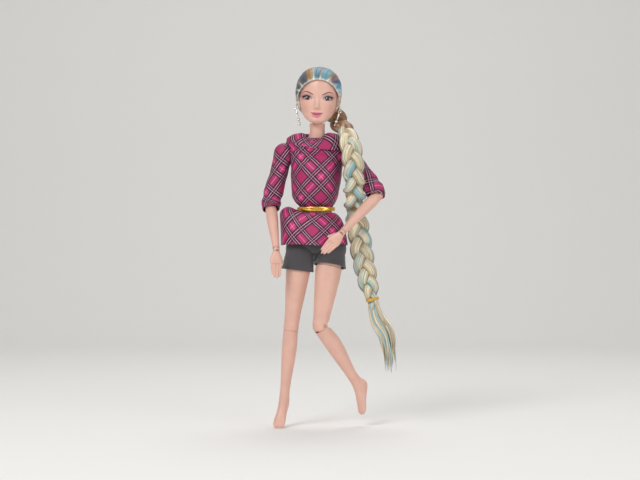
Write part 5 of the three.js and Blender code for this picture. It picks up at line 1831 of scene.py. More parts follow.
    def tie(self, wardrobe: Wardrobe, route: Route) -> None:
        """Makes the elastic: three turns of thread round the braid's end.

        Args:
            wardrobe: Puts the pieces on the frame.
            route: The line that it follows.
        """
        where = np.array([self.elastic_share])
        centre, heading = route.at(where)[0], route.heading(where)[0]
        across, out = (v[0] for v in sideways(heading[None]))
        spin = np.linspace(0, 1, 240)
        around = spin * self.thread_turns * 2 * math.pi
        half_across = self.half_width * self.tightness + 0.55
        half_out = self.half_depth * self.tightness + 0.35
        line = (
            centre
            + across * (np.cos(around) * half_across)[:, None]
            + out * (np.sin(around) * half_out)[:, None]
            + heading * ((spin - 0.5) * 2.1)[:, None]
        )
        mesh = tube(line, np.full(len(line), self.thread), 10)
        wardrobe.place("braid_elastic_thread", mesh, ELASTIC, ["braid_elastic"])

    def tail(self, wardrobe: Wardrobe, rng: np.random.Generator) -> None:
        """Makes the loose hair below the elastic out of tapered locks.

        Args:
            wardrobe: Puts the pieces on the frame.
            rng: The seeded source of chance.
        """
        route = self.route(self.tail_shares)
        spread = Table(self.tail_spread)
        tones = [colour(hue) for hue in self.tail_hues]
        meshes = []
        for lock in range(self.tail_locks):
            turn, reach = rng.uniform(0, 2 * math.pi), math.sqrt(rng.uniform(0.02, 1))
            length = rng.uniform(0.72, 1.0) if lock % 4 else rng.uniform(0.5, 0.75)
            share = np.linspace(0, length, 46)
            across, out = sideways(route.heading(share))
            open_ = spread(share)[:, 0]
            wave = rng.uniform(0, 6)
            a = math.cos(turn) * reach * 5.6 * open_ + 1.0 * np.sin(share * 7 + wave) * share
            o = math.sin(turn) * reach * 2.6 * open_ + 0.7 * np.sin(share * 6 + wave) * share
            line = route.at(share) + across * a[:, None] + out * o[:, None]
            taper = np.linspace(0, 1, len(share))
            radius = rng.uniform(0.8, 1.25) * (1 - taper**2.2) ** 0.8 + 0.06
            mesh = tube(line, radius, 10, 60 * lock)
            paint(mesh, np.tile(tones[rng.integers(len(tones))], (len(mesh.vertices), 1)))
            meshes.append(mesh)
        wardrobe.place("braid_tail_hair", merged(meshes), BRAID, ["braid_tail"], crease=80)


def tube(line: np.ndarray, radius: np.ndarray, sides: int, offset: float = 0) -> bpy.types.Mesh:
    """A round tube along a line.

    Args:
        line: The points of its middle.
        radius: Its radius at each of them.
        sides: The facets round it.
        offset: Where its strand coordinates begin, in mm.

    Returns:
        The tube, with strand coordinates.
    """
    angle = circle(sides)
    size = radius[:, None]
    rings = ringed(line, sideways(unit(np.gradient(line, axis=0))), angle, size, size)
    run = np.concatenate([[0], np.cumsum(np.linalg.norm(np.diff(line, axis=0), axis=1))])
    return grid(rings, strand_coords(np.append(angle, 2 * math.pi) + offset, run))


def merged(meshes: Sequence[bpy.types.Mesh]) -> bpy.types.Mesh:
    """One mesh of several, with their coordinates and paint.

    Args:
        meshes: The meshes.

    Returns:
        The one mesh.
    """
    collection = bpy.context.scene.collection
    objects = [bpy.data.objects.new("lock", mesh) for mesh in meshes]
    for piece in objects:
        collection.objects.link(piece)
    with bpy.context.temp_override(
        active_object=objects[0],
        object=objects[0],
        selected_objects=objects,
        selected_editable_objects=objects,
    ):
        bpy.ops.object.join()
    mesh = objects[0].data
    bpy.data.objects.remove(objects[0])
    return mesh


@dataclass
class Earrings:
    """A stud with a ring in each lobe, and a string of beads that hangs on it."""

    head: Head
    stud: float = 1.0
    ring: float = 1.1
    wire: float = 0.28
    string: float = 0.16
    slack: float = 0.3
    length: float = 12
    radius: float = 1.5
    lean: float = 16
    beads: Sequence[tuple[float, float, float]] = (
        (0.2, 0.62, 1.5), (0.42, 0.5, 0.5), (0.62, 0.95, 1.0), (0.78, 0.35, 0.35), (0.92, 0.8, 0.85)
    )

    def hoop(self, centre: Sequence[float], axis: str) -> bpy.types.Mesh:
        """A wire ring round an axis.

        Args:
            centre: Its middle.
            axis: The axis that it goes round.

        Returns:
            The ring.
        """
        angle = circle(48)
        ring = np.column_stack([np.cos(angle) * self.ring, np.sin(angle) * self.ring, 0 * angle])
        ways = (unit(ring), np.broadcast_to([0.0, 0, 1], ring.shape))
        rings = ringed(ring, ways, circle(12), self.wire, self.wire)
        order = {"x": [2, 0, 1], "y": [1, 2, 0]}[axis]
        return grid(rings[:, :, order] + np.array(centre, float), loop=True)

    def build(self, wardrobe: Wardrobe) -> None:
        """Makes both earrings.

        Args:
            wardrobe: Puts the pieces on the frame.
        """
        for side in Side:
            x, y, z = self.head.lobe(side)
            outside = x + side.value * (self.stud + 0.9)
            drop = self.stud + self.ring - self.wire
            stem = sorted((outside, x - side.value * self.stud))
            pin = moved(rod("x", self.wire, *stem, 16), Matrix.Translation((0, y, z)))
            stud = combine(
                Operation.JOIN,
                ball(self.stud, (outside, y, z), 32),
                pin,
                self.hoop((outside, y, z - drop), "x"),
            )
            name = f"{side.label}_earring"
            wardrobe.place(f"{name}_stud_bead", stud, SILVER, [f"{name}_stud"], head_frame())
            eye = (outside, y, z - drop - self.ring)
            swing = joint_frame(head_frame(), eye, "Y", side.value * self.lean)
            hang = self.ring - self.wire - self.slack
            top = -hang - self.ring
            parts = [self.hoop((0, 0, -hang), "y"), rod("z", self.string, top - self.length, top, 12)]
            for share, wide, tall in self.beads:
                bead = moved(ball(self.radius, sides=32), Matrix.Diagonal((wide, wide, tall, 1)))
                parts.append(moved(bead, Matrix.Translation((0, 0, top - share * self.length))))
            drop_piece = combine(Operation.JOIN, *parts)
            wardrobe.place(f"{name}_beads", drop_piece, SILVER, [f"{name}_drop"], swing)


def limb(
    rows: Sequence[Sequence[float]],
    length: float,
    half_width: float,
    half_depth: float,
    start: float = 0,
    end: float = 1,
    sides: int = 64,
    rings: int = 70,
) -> np.ndarray:
    """Rings of a limb that hangs down -Z.

    Args:
        rows: [place, width, front, back] in shares of the length and half sizes.
        length: The limb's length.
        half_width: Its half width.
        half_depth: Its half depth.
        start: Where the rings begin, as a share of the length.
        end: Where they end.
        sides: Points round a ring.
        rings: How many rings there are.

    Returns:
        Points of shape (rings, sides, 3).
    """
    place = np.linspace(start, end, rings)
    width, front, back = (c[:, None] for c in Table(rows)(place).T)
    middle, half = (back - front) / 2 * half_depth, (back + front) / 2 * half_depth
    angle = circle(sides)[None, :]
    return np.stack(
        [
            np.sin(angle) * width * half_width,
            middle - np.cos(angle) * half,
            -place[:, None] * length + 0 * angle,
        ],
        -1,
    )


TONGUE_SHARE = 0.72
PIN_SHARE = 0.9
GAP = 0.3


def tongue(radius: float, width: float, pin: float, reach: float) -> bpy.types.Mesh:
    """The tongue that a piece hangs by.

    Args:
        radius: The radius of the ball that it turns in.
        width: Its width.
        pin: The pin's radius.
        reach: How far it goes.

    Returns:
        The tongue.
    """
    eye = rod("x", radius * TONGUE_SHARE - GAP, -width / 2, width / 2)
    arm = block((0, 0, -reach / 2), (width, radius * TONGUE_SHARE, reach))
    hole = rod("x", pin + GAP, -radius, radius)
    return combine(Operation.CUT, combine(Operation.JOIN, eye, arm), hole)


def slot(width: float, radius: float, reach: float, start: float, end: float) -> bpy.types.Mesh:
    """The room that a tongue turns in."""
    return combine(Operation.JOIN, rod("x", radius, -width / 2, width / 2), wedge(start, end, reach, width))


def peg_link(
    radius: float, width: float, peg: float, peg_length: float, pin: float, start: float, end: float
) -> bpy.types.Mesh:
    """A slotted ball on a headed peg.

    Args:
        radius: The ball's radius.
        width: The tongue's width.
        peg: The peg's radius.
        peg_length: How long the peg is.
        pin: The pin's radius.
        start: The first direction of its slot, in degrees.
        end: The last direction of its slot.

    Returns:
        The link.
    """
    top = radius + peg_length
    link = combine(Operation.JOIN, ball(radius), rod("z", peg, 0, top))
    link = combine(
        Operation.CUT,
        link,
        slot(width + 2 * GAP, radius * TONGUE_SHARE, 2 * radius, start, end),
        rod("x", pin + GAP, -radius, radius),
    )
    return combine(Operation.JOIN, link, rod("z", peg + pin / 2, top - 2 * pin, top))


@dataclass(frozen=True)
class Hinge:
    """Sizes of a slotted ball on a headed peg, and of the tongue and pin in it."""

    ball: float
    tongue: float
    pin: float
    peg: float
    peg_length: float


@dataclass
class Arm:
    """One arm from the sleeve down: upper arm, elbow, forearm, wrist and hand."""

    side: Side
    upper_half: float = 5.3
    fore_half: float = 4.7
    shoulder_ball: float = 6.8
    elbow: Hinge = Hinge(ball=4.4, tongue=3, pin=0.8, peg=1.8, peg_length=8)
    wrist: Hinge = Hinge(ball=2.7, tongue=1.6, pin=0.5, peg=1.2, peg_length=6)
    upper_rows: Sequence[Sequence[float]] = (
        (0, 1, 1, 1), (0.2, 1, 1.02, 1.02), (0.45, 0.95, 0.98, 0.98), (0.7, 0.88, 0.9, 0.92),
        (0.85, 0.82, 0.84, 0.86), (0.93, 0.72, 0.74, 0.76), (1, 0.6, 0.6, 0.6),
    )
    fore_rows: Sequence[Sequence[float]] = (
        (0, 0.86, 0.86, 0.86), (0.1, 0.95, 0.95, 0.98), (0.25, 1, 1.02, 1), (0.5, 0.88, 0.92, 0.86),
        (0.75, 0.7, 0.74, 0.68), (0.9, 0.62, 0.62, 0.58), (1, 0.6, 0.58, 0.55),
    )

    def hinge(
        self, wardrobe: Wardrobe, joint: Hinge, name: str, frame: Matrix, start: float, end: float
    ) -> None:
        """Makes a joint's link and its pin.

        Args:
            wardrobe: Puts the pieces on the frame.
            joint: The joint's sizes.
            name: What the nodes' names start with.
            frame: The link's frame.
            start: The first direction of the slot, in degrees.
            end: The last one.
        """
        link = peg_link(joint.ball, joint.tongue, joint.peg, joint.peg_length, joint.pin, start, end)
        wardrobe.place(f"{name}_link_skin", link, SKIN, [f"{name}_link"], frame)
        reach = joint.ball * PIN_SHARE
        wardrobe.place(f"{name}_pin_rod", rod("x", joint.pin, -reach, reach), JOINT, [f"{name}_pin"], frame)

    def build(self, wardrobe: Wardrobe) -> None:
        """Makes the arm's pieces.

        Args:
            wardrobe: Puts the pieces on the frame.
        """
        frames, name = ArmFrames.of(self.side), self.side.label
        elbow, wrist = self.elbow, self.wrist
        upper = grid(limb(self.upper_rows, UPPER_ARM, self.upper_half, self.upper_half, 0.1, 0.95))
        upper = combine(
            Operation.CUT,
            upper,
            ball(self.shoulder_ball + GAP),
            ball(elbow.ball + GAP, (0, 0, -UPPER_ARM)),
            rod("z", elbow.peg + GAP, -UPPER_ARM, -UPPER_ARM + elbow.ball + elbow.peg_length + GAP),
        )
        wardrobe.place(f"{name}_upper_arm_skin", upper, SKIN, [f"{name}_upper_arm"], frames.raised)
        self.hinge(wardrobe, elbow, f"{name}_elbow", frames.swivel, -130, 32)
        fore = grid(limb(self.fore_rows, FOREARM, self.fore_half, self.fore_half, 0.02, 0.97))
        fore = combine(
            Operation.CUT,
            fore,
            ball(elbow.ball + GAP),
            wedge(-180, -42, 60, 60),
            ball(wrist.ball + GAP, (0, 0, -FOREARM)),
            rod("z", wrist.peg + GAP, -FOREARM, -FOREARM + wrist.ball + wrist.peg_length + GAP),
        )
        top = tongue(elbow.ball, elbow.tongue, elbow.pin, elbow.ball + 1.8)
        fore = combine(Operation.JOIN, fore, top)
        wardrobe.place(f"{name}_forearm_skin", fore, SKIN, [f"{name}_forearm"], frames.bend)
        self.hinge(wardrobe, wrist, f"{name}_wrist", frames.turn, -68, 68)
        Hand(self.side, wrist).build(wardrobe, frames.tilt)


@dataclass
class Hand:
    """A soft hand: the palm, four fingers and a thumb, blended into each other."""

    side: Side
    wrist: Hinge
    palm_length: float = 11.5
    palm_half: float = 5.2
    palm_deep: float = 2.1
    finger_length: float = 11.5
    finger_radius: float = 1.1
    thumb_length: float = 9
    thumb_radius: float = 1.25
    voxel: float = 0.24
    palm_rows: Sequence[Sequence[float]] = (
        (0, 0.52, 1.1, 1.1), (0.25, 0.62, 1.12, 1.12), (0.5, 0.84, 1.06, 1.08),
        (0.8, 0.98, 0.95, 1), (1, 0.94, 0.7, 0.75),
    )
    fingers: Sequence[tuple[float, float, float, float]] = (
        (-0.72, 0.93, -5, 7), (-0.24, 1.08, -1.5, 4), (0.24, 1, 1.5, 6), (0.7, 0.78, 6, 10)
    )
    digit_rows: Sequence[Sequence[float]] = (
        (0, 1, 1, 0.9), (0.35, 1.02, 1.02, 0.92), (0.7, 0.9, 0.9, 0.81), (0.92, 0.74, 0.74, 0.67),
        (1, 0.35, 0.35, 0.31),
    )

    def digit(self, length: float, radius: float) -> bpy.types.Mesh:
        """A finger that hangs down, with its knuckles.

        Args:
            length: Its length.
            radius: Its radius.

        Returns:
            The finger.
        """
        rings = limb(self.digit_rows, length, radius, radius, sides=24, rings=30)
        place = -rings[..., 2] / length
        knuckle = 1 + 0.05 * (bell(place - 0.42, 0.06) + bell(place - 0.7, 0.05))
        rings[..., :2] *= knuckle[..., None]
        return grid(rings)

    def bent(self, turn: float, curl: float) -> Matrix:
        """How a digit is turned outward and then curled, in degrees."""
        outward = Matrix.Rotation(math.radians(self.side.value * turn), 4, "Y")
        return outward @ Matrix.Rotation(math.radians(curl), 4, "X")

    def build(self, wardrobe: Wardrobe, frame: Matrix) -> None:
        """Makes the hand.

        Args:
            wardrobe: Puts the pieces on the frame.
            frame: The frame that it is made in.
        """
        side = self.side.value
        palm = grid(limb(self.palm_rows, self.palm_length, self.palm_half, self.palm_deep, 0.12, 1, 48, 30))
        parts = []
        for place, length, spread, curl in self.fingers:
            finger = self.digit(length * self.finger_length + self.finger_radius, self.finger_radius)
            at = Matrix.Translation((side * place * self.palm_half, 0, self.finger_radius - self.palm_length))
            parts.append(moved(finger, at @ self.bent(spread, curl)))
        thumb_root = (-side * self.palm_half * 0.4, self.palm_deep * 0.3, -self.palm_length * 0.28)
        at = Matrix.Translation(thumb_root)
        parts.append(moved(self.digit(self.thumb_length, self.thumb_radius), at @ self.bent(30, 14)))
        hand = softened(combine(Operation.JOIN, palm, *parts), self.voxel)
        wrist = self.wrist
        hand = combine(Operation.CUT, hand, ball(wrist.ball + GAP))
        root = tongue(wrist.ball, wrist.tongue, wrist.pin, wrist.ball + 0.9)
        hand = combine(Operation.JOIN, hand, root)
        name = self.side.label
        wardrobe.place(f"{name}_hand_skin", hand, SKIN, [f"{name}_hand"], frame, crease=60)


def softened(mesh: bpy.types.Mesh, voxel: float, passes: int = 6) -> bpy.types.Mesh:
    """Blends the pieces of a mesh into one soft skin.

    Args:
        mesh: The joined pieces.
        voxel: The size of detail that is kept, in mm.
        passes: How often it is smoothed.

    Returns:
        The soft mesh.
    """
    piece = bpy.data.objects.new("soft", mesh)
    bpy.context.scene.collection.objects.link(piece)
    remesh = piece.modifiers.new("remesh", "REMESH")
    remesh.mode, remesh.voxel_size = "VOXEL", voxel
    smooth = piece.modifiers.new("smooth", "SMOOTH")
    smooth.factor, smooth.iterations = 0.5, passes
    depsgraph = bpy.context.evaluated_depsgraph_get()
    result = bpy.data.meshes.new_from_object(piece.evaluated_get(depsgraph))
    bpy.data.objects.remove(piece)
    return result


@dataclass
class Leg:
    """One leg: the hip's round top, the thigh, the knee, and the shin with its bare foot on tiptoe."""

    side: Side
    half_width: float = 9.6
    half_depth: float = 10.8
    swivel: float = 15.5
    hip_ball: float = 10.5
    peg: float = 3.4
    peg_length: float = 9
    knee_ball: float = 6.1
    knee_tongue: float = 4.4
    knee_pin: float = 1.1
    shin: float = 58
    foot: float = 23
    shin_half_width: float = 6
    shin_half_depth: float = 7.2
    relief: float = 42
    toe_gaps: Sequence[float] = (-2.2, -0.4, 1.2, 2.6)
    toe_gap_depth: float = 0.5
    thigh_rows: Sequence[Sequence[float]] = (
        (0, 1.04, 0.96, 0.96), (0.15, 1.06, 0.98, 1), (0.3, 1.0, 1.0, 1.02), (0.5, 0.88, 0.9, 0.92),
        (0.7, 0.74, 0.76, 0.78), (0.88, 0.65, 0.64, 0.64), (1, 0.62, 0.6, 0.58),
    )
    shin_rows: Sequence[Sequence[float]] = (
        (0, 0.98, 0.84, 0.84), (0.086, 1.0, 0.84, 0.94), (0.21, 1.0, 0.8, 1.14), (0.358, 0.9, 0.72, 1.06),
        (0.506, 0.74, 0.62, 0.8), (0.63, 0.66, 0.56, 0.66), (0.7, 0.68, 0.58, 0.78), (0.74, 0.7, 0.66, 1.02),
        (0.784, 0.7, 0.8, 1.12), (0.82, 0.68, 0.98, 0.92), (0.858, 0.68, 1.16, 0.42), (0.9, 0.74, 1.34, -0.2),
        (0.944, 0.8, 1.52, -0.66), (0.979, 0.74, 1.7, -1.02), (1, 0.5, 1.74, -1.36),
    )

    def build(self, wardrobe: Wardrobe) -> None:
        """Makes the leg's pieces.

        Args:
            wardrobe: Puts the pieces on the frame.
        """
        frames, name = LegFrames.of(self.side), self.side.label
        end = self.swivel - GAP
        top = combine(
            Operation.JOIN,
            ball(self.hip_ball, sides=64),
            grid(limb(self.thigh_rows, THIGH, self.half_width, self.half_depth, 0.02, end / THIGH)),
            rod("z", self.peg, -end - self.peg_length, -end + 1.8),
        )
        wardrobe.place(f"{name}_thigh_cap_skin", top, SKIN, [f"{name}_thigh_cap"], frames.spread)
        knee = (0, 0, -THIGH)
        knee_at = Matrix.Translation(knee)
        start = self.swivel / THIGH
        body = grid(limb(self.thigh_rows, THIGH, self.half_width, self.half_depth, start, 1, rings=110))
        fold = 2 * self.knee_ball
        body = combine(Operation.CUT, body, moved(wedge(0, 180 - self.relief, fold, 2 * fold), knee_at))
        body = combine(Operation.JOIN, body, ball(self.knee_ball, knee, 56))
        body = combine(
            Operation.CUT,
            body,
            rod("z", self.peg + GAP, -end - self.peg_length - GAP, 0),
            moved(slot(self.knee_tongue + 2 * GAP, self.knee_ball * TONGUE_SHARE, fold, -32, 124), knee_at),
            moved(rod("x", self.knee_pin + GAP, -30, 30), knee_at),
        )
        wardrobe.place(f"{name}_thigh_skin", body, SKIN, [f"{name}_thigh"], frames.twist)
        reach = self.knee_ball * PIN_SHARE
        pin = moved(rod("x", self.knee_pin, -reach, reach), knee_at)
        wardrobe.place(f"{name}_knee_pin_rod", pin, JOINT, [f"{name}_knee_pin"], frames.twist)
        rings = limb(
            self.shin_rows, self.shin + self.foot, self.shin_half_width, self.shin_half_depth, 0, 1, 96, 200
        )
        shin = combine(
            Operation.CUT,
            grid(self.toes(rings)),
            ball(self.knee_ball + GAP, sides=56),
            wedge(self.relief, 180, fold, 2 * fold),
            wedge(-180, -180 + 2 * self.relief, fold, 2 * fold),
        )
        top = tongue(self.knee_ball, self.knee_tongue, self.knee_pin, self.knee_ball + 1.8)
        shin = combine(Operation.JOIN, shin, top)
        wardrobe.place(f"{name}_shin_and_foot_skin", shin, SKIN, [f"{name}_shin_and_foot"], frames.bend)

    def toes(self, rings: np.ndarray) -> np.ndarray:
        """Presses the gaps between the toes into the foot's end.

        Args:
            rings: The shin's and foot's rings.

        Returns:
            The rings with the gaps in them.
        """
        length = self.shin + self.foot
        place = -rings[..., 2] / length
        x = rings[..., 0] * self.side.value
        press = sum(bell(x - gap, 0.28) for gap in self.toe_gaps) * ease(0.93, 0.985, place)
        middle = rings.mean(axis=1, keepdims=True)
        return rings - unit(rings - middle) * (self.toe_gap_depth * press)[..., None]


CLOTH = 0.55


@dataclass(frozen=True)
class SleeveCut:
    """Where a sleeve ends past the elbow, how far before it the bend begins, and its flat size in metres."""

    beyond: float
    turn: float
    flat: tuple[float, float]


@dataclass
class Blouse:
    """The belted blouse: draped bodice, rolled collar, flared peplum and two short sleeves."""

    drop: float = 1.4
    top: float = 57
    half_width: float = 24
    half_depth: float = 20
    armhole: float = 19.2
    fold_depth: float = 1.5
    shoulder_lift: float = 2.2
    sides: int = 260
    sleeve_head: float = 8.3
    sleeve_half: float = 7.3
    sleeve_rows: Sequence[Sequence[float]] = (
        (0, 1.08), (0.22, 1.02), (0.5, 1), (0.72, 1.05), (0.9, 1.05), (1, 0.94)
    )
    neck_radius: float = 10.6
    roll: float = 1.7
    v_turn: float = 0.2
    v_depth: float = 7.4
    neck_height: float = 59.5
    armhole_radius: float = 8.2
    far: float = 60
    cowl: Sequence[tuple[float, float, float]] = (
        (47.5, 1.7, 1.25), (43.0, 1.6, 1.35), (37.6, 1.15, 1.6), (31.0, 0.6, 2.2)
    )
    bodice_flat: tuple[float, float] = (0.118, 0.062)
    collar_flat: tuple[float, float] = (0.09, 0.024)
    peplum_flat: tuple[float, float] = (0.15, 0.034)
    right_sleeve: SleeveCut = SleeveCut(beyond=5, turn=7, flat=(0.047, 0.055))
    left_sleeve: SleeveCut = SleeveCut(beyond=0.5, turn=4, flat=(0.047, 0.05))
    peplum_start: float = 3.4
    peplum_drop: float = 26
    peplum_sizes: Sequence[tuple[float, float]] = ((15.2, 28), (15.2, 25), (12.4, 20.4), (12.4, 19))
    peplum_rows: Sequence[Sequence[float]] = (
        (0, 0, 0), (0.15, 0.27, 0.07), (0.3, 0.52, 0.19), (0.42, 0.68, 0.32), (0.6, 0.83, 0.53),
        (0.8, 0.95, 0.78), (1, 1, 1),
    )
    puff_rows: Sequence[Sequence[float]] = (
        (0, 0, 0), (0.06, 0.14, 0), (0.15, 0.36, -0.16), (0.3, 0.76, -0.17), (0.42, 1.06, -0.03),
        (0.6, 1.08, 0.28), (0.8, 1.03, 0.64), (1, 1, 1),
    )
    neck_rows: Sequence[Sequence[float]] = (
        (0, -0.1, -3.4), (0.35, -0.35, -1.2), (0.6, -0.15, 0.4), (0.8, 0.5, 1.5), (1, 1.5, 1.9)
    )
    edge_heights: Sequence[Sequence[float]] = (
        (-180, 55.4), (-125, 55.2), (-90, 56.0), (-66, 54.6), (-40, 51), (-18, 48), (6, 46.6), (34, 46),
        (54, 47.6), (72, 51.4), (92, 55), (125, 55.3), (180, 55.4),
    )
    rows: Sequence[Sequence[float]] = (
        (0, 0.575, 0.575, 0.535, 0.515), (0.054, 0.56, 0.56, 0.52, 0.5), (0.102, 0.68, 0.64, 0.67, 0.59),
        (0.186, 0.81, 0.73, 0.81, 0.64), (0.271, 0.84, 0.765, 0.92, 0.66), (0.39, 0.86, 0.82, 1.04, 0.66),
        (0.492, 0.88, 0.85, 1.08, 0.67), (0.593, 0.87, 0.87, 1.01, 0.7), (0.695, 0.93, 0.95, 0.89, 0.71),
        (0.797, 1.04, 1.04, 0.77, 0.69), (0.881, 1.03, 1.03, 0.66, 0.64), (0.949, 1.05, 0.84, 0.57, 0.6),
        (0.985, 0.95, 0.7, 0.55, 0.585), (1, 0.68, 0.6, 0.53, 0.57),
    )

    def folds(self, x: np.ndarray, z: np.ndarray) -> np.ndarray:
        """The cowl's folds, which fall from the right shoulder towards the left breast.

        Args:
            x: Places across.
            z: Heights.

        Returns:
            How far the cloth stands out.
        """
        fall = z + 0.28 * x + 0.006 * x * x
        right = ease(14, -12, x)
        depth = sum(share * bell(fall - at, wide) for at, share, wide in self.cowl)
        pull = 0.5 * bell(x + 18, 6) * np.sin(z * 0.95 + x * 0.55) * ease(24, 36, z)
        return self.fold_depth * depth * (0.35 + 0.65 * right) + pull

    def half_sizes(self, share: np.ndarray) -> np.ndarray:
        """The bodice's half sizes in mm to the right, left, front and back.

        Args:
            share: Shares of its height.

        Returns:
            Four sizes for each share, in the first dimension.
        """
        rows = Table(self.rows)(share.ravel()).reshape(*share.shape, 4)
        scale = (self.half_width, self.half_width, self.half_depth, self.half_depth)
        return np.moveaxis(rows * scale, -1, 0)

    def bodice(self) -> np.ndarray:
        """Rings of the bodice's outer face.

        Returns:
            Points of shape (rings, sides, 3).
        """
        u = np.linspace(0, 1, 150)
        z = (u * (self.top + self.drop) - self.drop)[:, None]
        angle = circle(self.sides)[None, :] + 0 * z
        points = oval(angle, z, *self.half_sizes(u[:, None]))
        ahead = np.clip(np.cos(angle), 0, 1)
        points[..., 1] -= self.folds(points[..., 0], points[..., 2]) * ahead
        points[..., 2] += self.shoulder_lift * bell(points[..., 0] + 19, 5) * ease(49, 55, z)
        gathers = 0.22 * np.sin(angle * 23 + np.sin(angle * 5)) * bell(z - 1.5, 5.5)
        outward = unit(points * np.array([1, 1, 0]))
        points = points + outward * gathers[..., None]
        points[..., 0] += NECK_LEAN * u[:, None]
        return points

    def build(self, wardrobe: Wardrobe) -> None:
        """Makes the blouse's five pieces.

        Args:
            wardrobe: Puts the pieces on the frame.
        """
        outer = self.bodice()
        mesh = shell(outer, CLOTH, cloth_coords(outer, (0, -self.drop)))
        holes = []
        for side in Side:
            near, far = sorted((side.value * self.armhole, side.value * self.far))
            hole = rod("x", self.armhole_radius, near, far, 64)
            holes.append(moved(hole, Matrix.Translation((0, 0, SHOULDER_HEIGHT))))
        mesh = combine(Operation.CUT, mesh, *holes)
        piece = wardrobe.place("bodice_cloth", mesh, BODICE_SATIN, ["blouse_bodice"], crease=60)
        self.collar(wardrobe)
        self.peplum(wardrobe)
        self.sleeve(wardrobe, Side.RIGHT, self.right_sleeve)
        self.sleeve(wardrobe, Side.LEFT, self.left_sleeve)

    def collar(self, wardrobe: Wardrobe) -> None:
        """Makes the draped collar: it rolls over at the neck and lies wide and low on the left.

        Args:
            wardrobe: Puts the pieces on the frame.
        """
        angle = circle(240)
        turned = np.degrees(np.where(angle > math.pi, angle - 2 * math.pi, angle))
        facing = np.clip(np.cos(angle + self.v_turn), 0, 1)
        base = self.neck_height - self.v_depth * facing**5
        around = np.stack([np.sin(angle), -np.cos(angle), 0 * angle], -1)
        lean = np.array([NECK_LEAN, 0, 0])
        inner = np.stack([
            around * (self.neck_radius + out) + lean + np.outer(base + rise, [0, 0, 1])
            for out, rise in Table(self.neck_rows)(np.linspace(0, 1, 26))
        ])
        height = Table(self.edge_heights)(turned)[:, 0]
        share = (height + self.drop) / (self.top + self.drop)
        edge = oval(angle, height, *self.half_sizes(share))
        edge = edge + around * 1.2 + np.array([NECK_LEAN, 0, 0.9])
        step = np.linspace(0, 1, 44)[1:, None, None]
        fuller = 0.75 + 0.45 * bell(turned - 42, 34)
        bulge = self.roll * np.sin(math.pi * step) ** 0.8 * fuller[None, :, None]
        lying = inner[-1] * (1 - step) + edge * step + (around + np.array([0, 0, 0.9])) * bulge
        wave = 0.35 * np.sin(turned / 14 + 5 * step[..., 0]) * np.sin(math.pi * step[..., 0])
        lying = lying + around * wave[..., None]
        lying = self.clear_of_bodice(lying, 0.75)
        outer = np.concatenate([inner, lying])
        mesh = shell(outer, CLOTH, cloth_coords(outer, (0, 0)))
        piece = wardrobe.place("collar_cloth", mesh, COLLAR_SATIN, ["blouse_collar"], crease=70)

    def clear_of_bodice(self, points: np.ndarray, room: float) -> np.ndarray:
        """Moves points that lie inside the bodice's outer face out of it.

        Args:
            points: The points.
            room: How far outside the face they end.

        Returns:
            The points, clear of the bodice.
        """
        share = (points[..., 2] + self.drop) / (self.top + self.drop)
        right, left, front, back = self.half_sizes(np.clip(share, 0, 1))
        x, y = points[..., 0] - NECK_LEAN * share, points[..., 1]
        wide = np.where(x < 0, right, left) + room
        deep = np.where(y < 0, front, back) + room + 0.8 * self.fold_depth
        grow = np.maximum(1 / np.maximum(np.hypot(x / wide, y / deep), 0.2), 1)
        grow = 1 + (grow - 1) * ease(self.top, self.top - 1.5, points[..., 2])
        return points * np.stack([grow, grow, np.ones_like(grow)], -1)

    def peplum(self, wardrobe: Wardrobe) -> None:
        """Makes the flared lower part with its puff on the right.

        Args:
            wardrobe: Puts the pieces on the frame.
        """
        u = np.linspace(0, 1, 90)
        angle = circle(300)[None, :] + 0 * u[:, None]
        puff = np.clip(-np.sin(angle), 0, 1) ** 1.5
        out, down = Table(self.peplum_rows)(u).T
        puff_out, puff_down = Table(self.puff_rows)(u).T
        reach = out[:, None] * (1 - puff) + puff_out[:, None] * puff
        fall = down[:, None] * (1 - puff) + puff_down[:, None] * puff
        fold = 1 + 0.8 * u[:, None] / 20.4 * (1 + np.sin(6 * angle + 1))
        small = 1 + 0.006 * np.sin(angle * 19 + 2 * np.sin(angle * 4)) * ease(1, 0.1, u)[:, None]
        halves = [(waist + (hem - waist) * reach) * fold * small for waist, hem in self.peplum_sizes]
        fall = fall + 0.018 * np.sin(angle * 4 + 0.9) * ease(0.55, 1, u)[:, None]
        outer = oval(angle, -self.peplum_start - fall * self.peplum_drop, *halves)
        mesh = shell(outer, CLOTH, cloth_coords(outer, (0, -self.peplum_start)))
        piece = wardrobe.place("peplum_cloth", mesh, PEPLUM_SATIN, ["blouse_peplum"], crease=60)

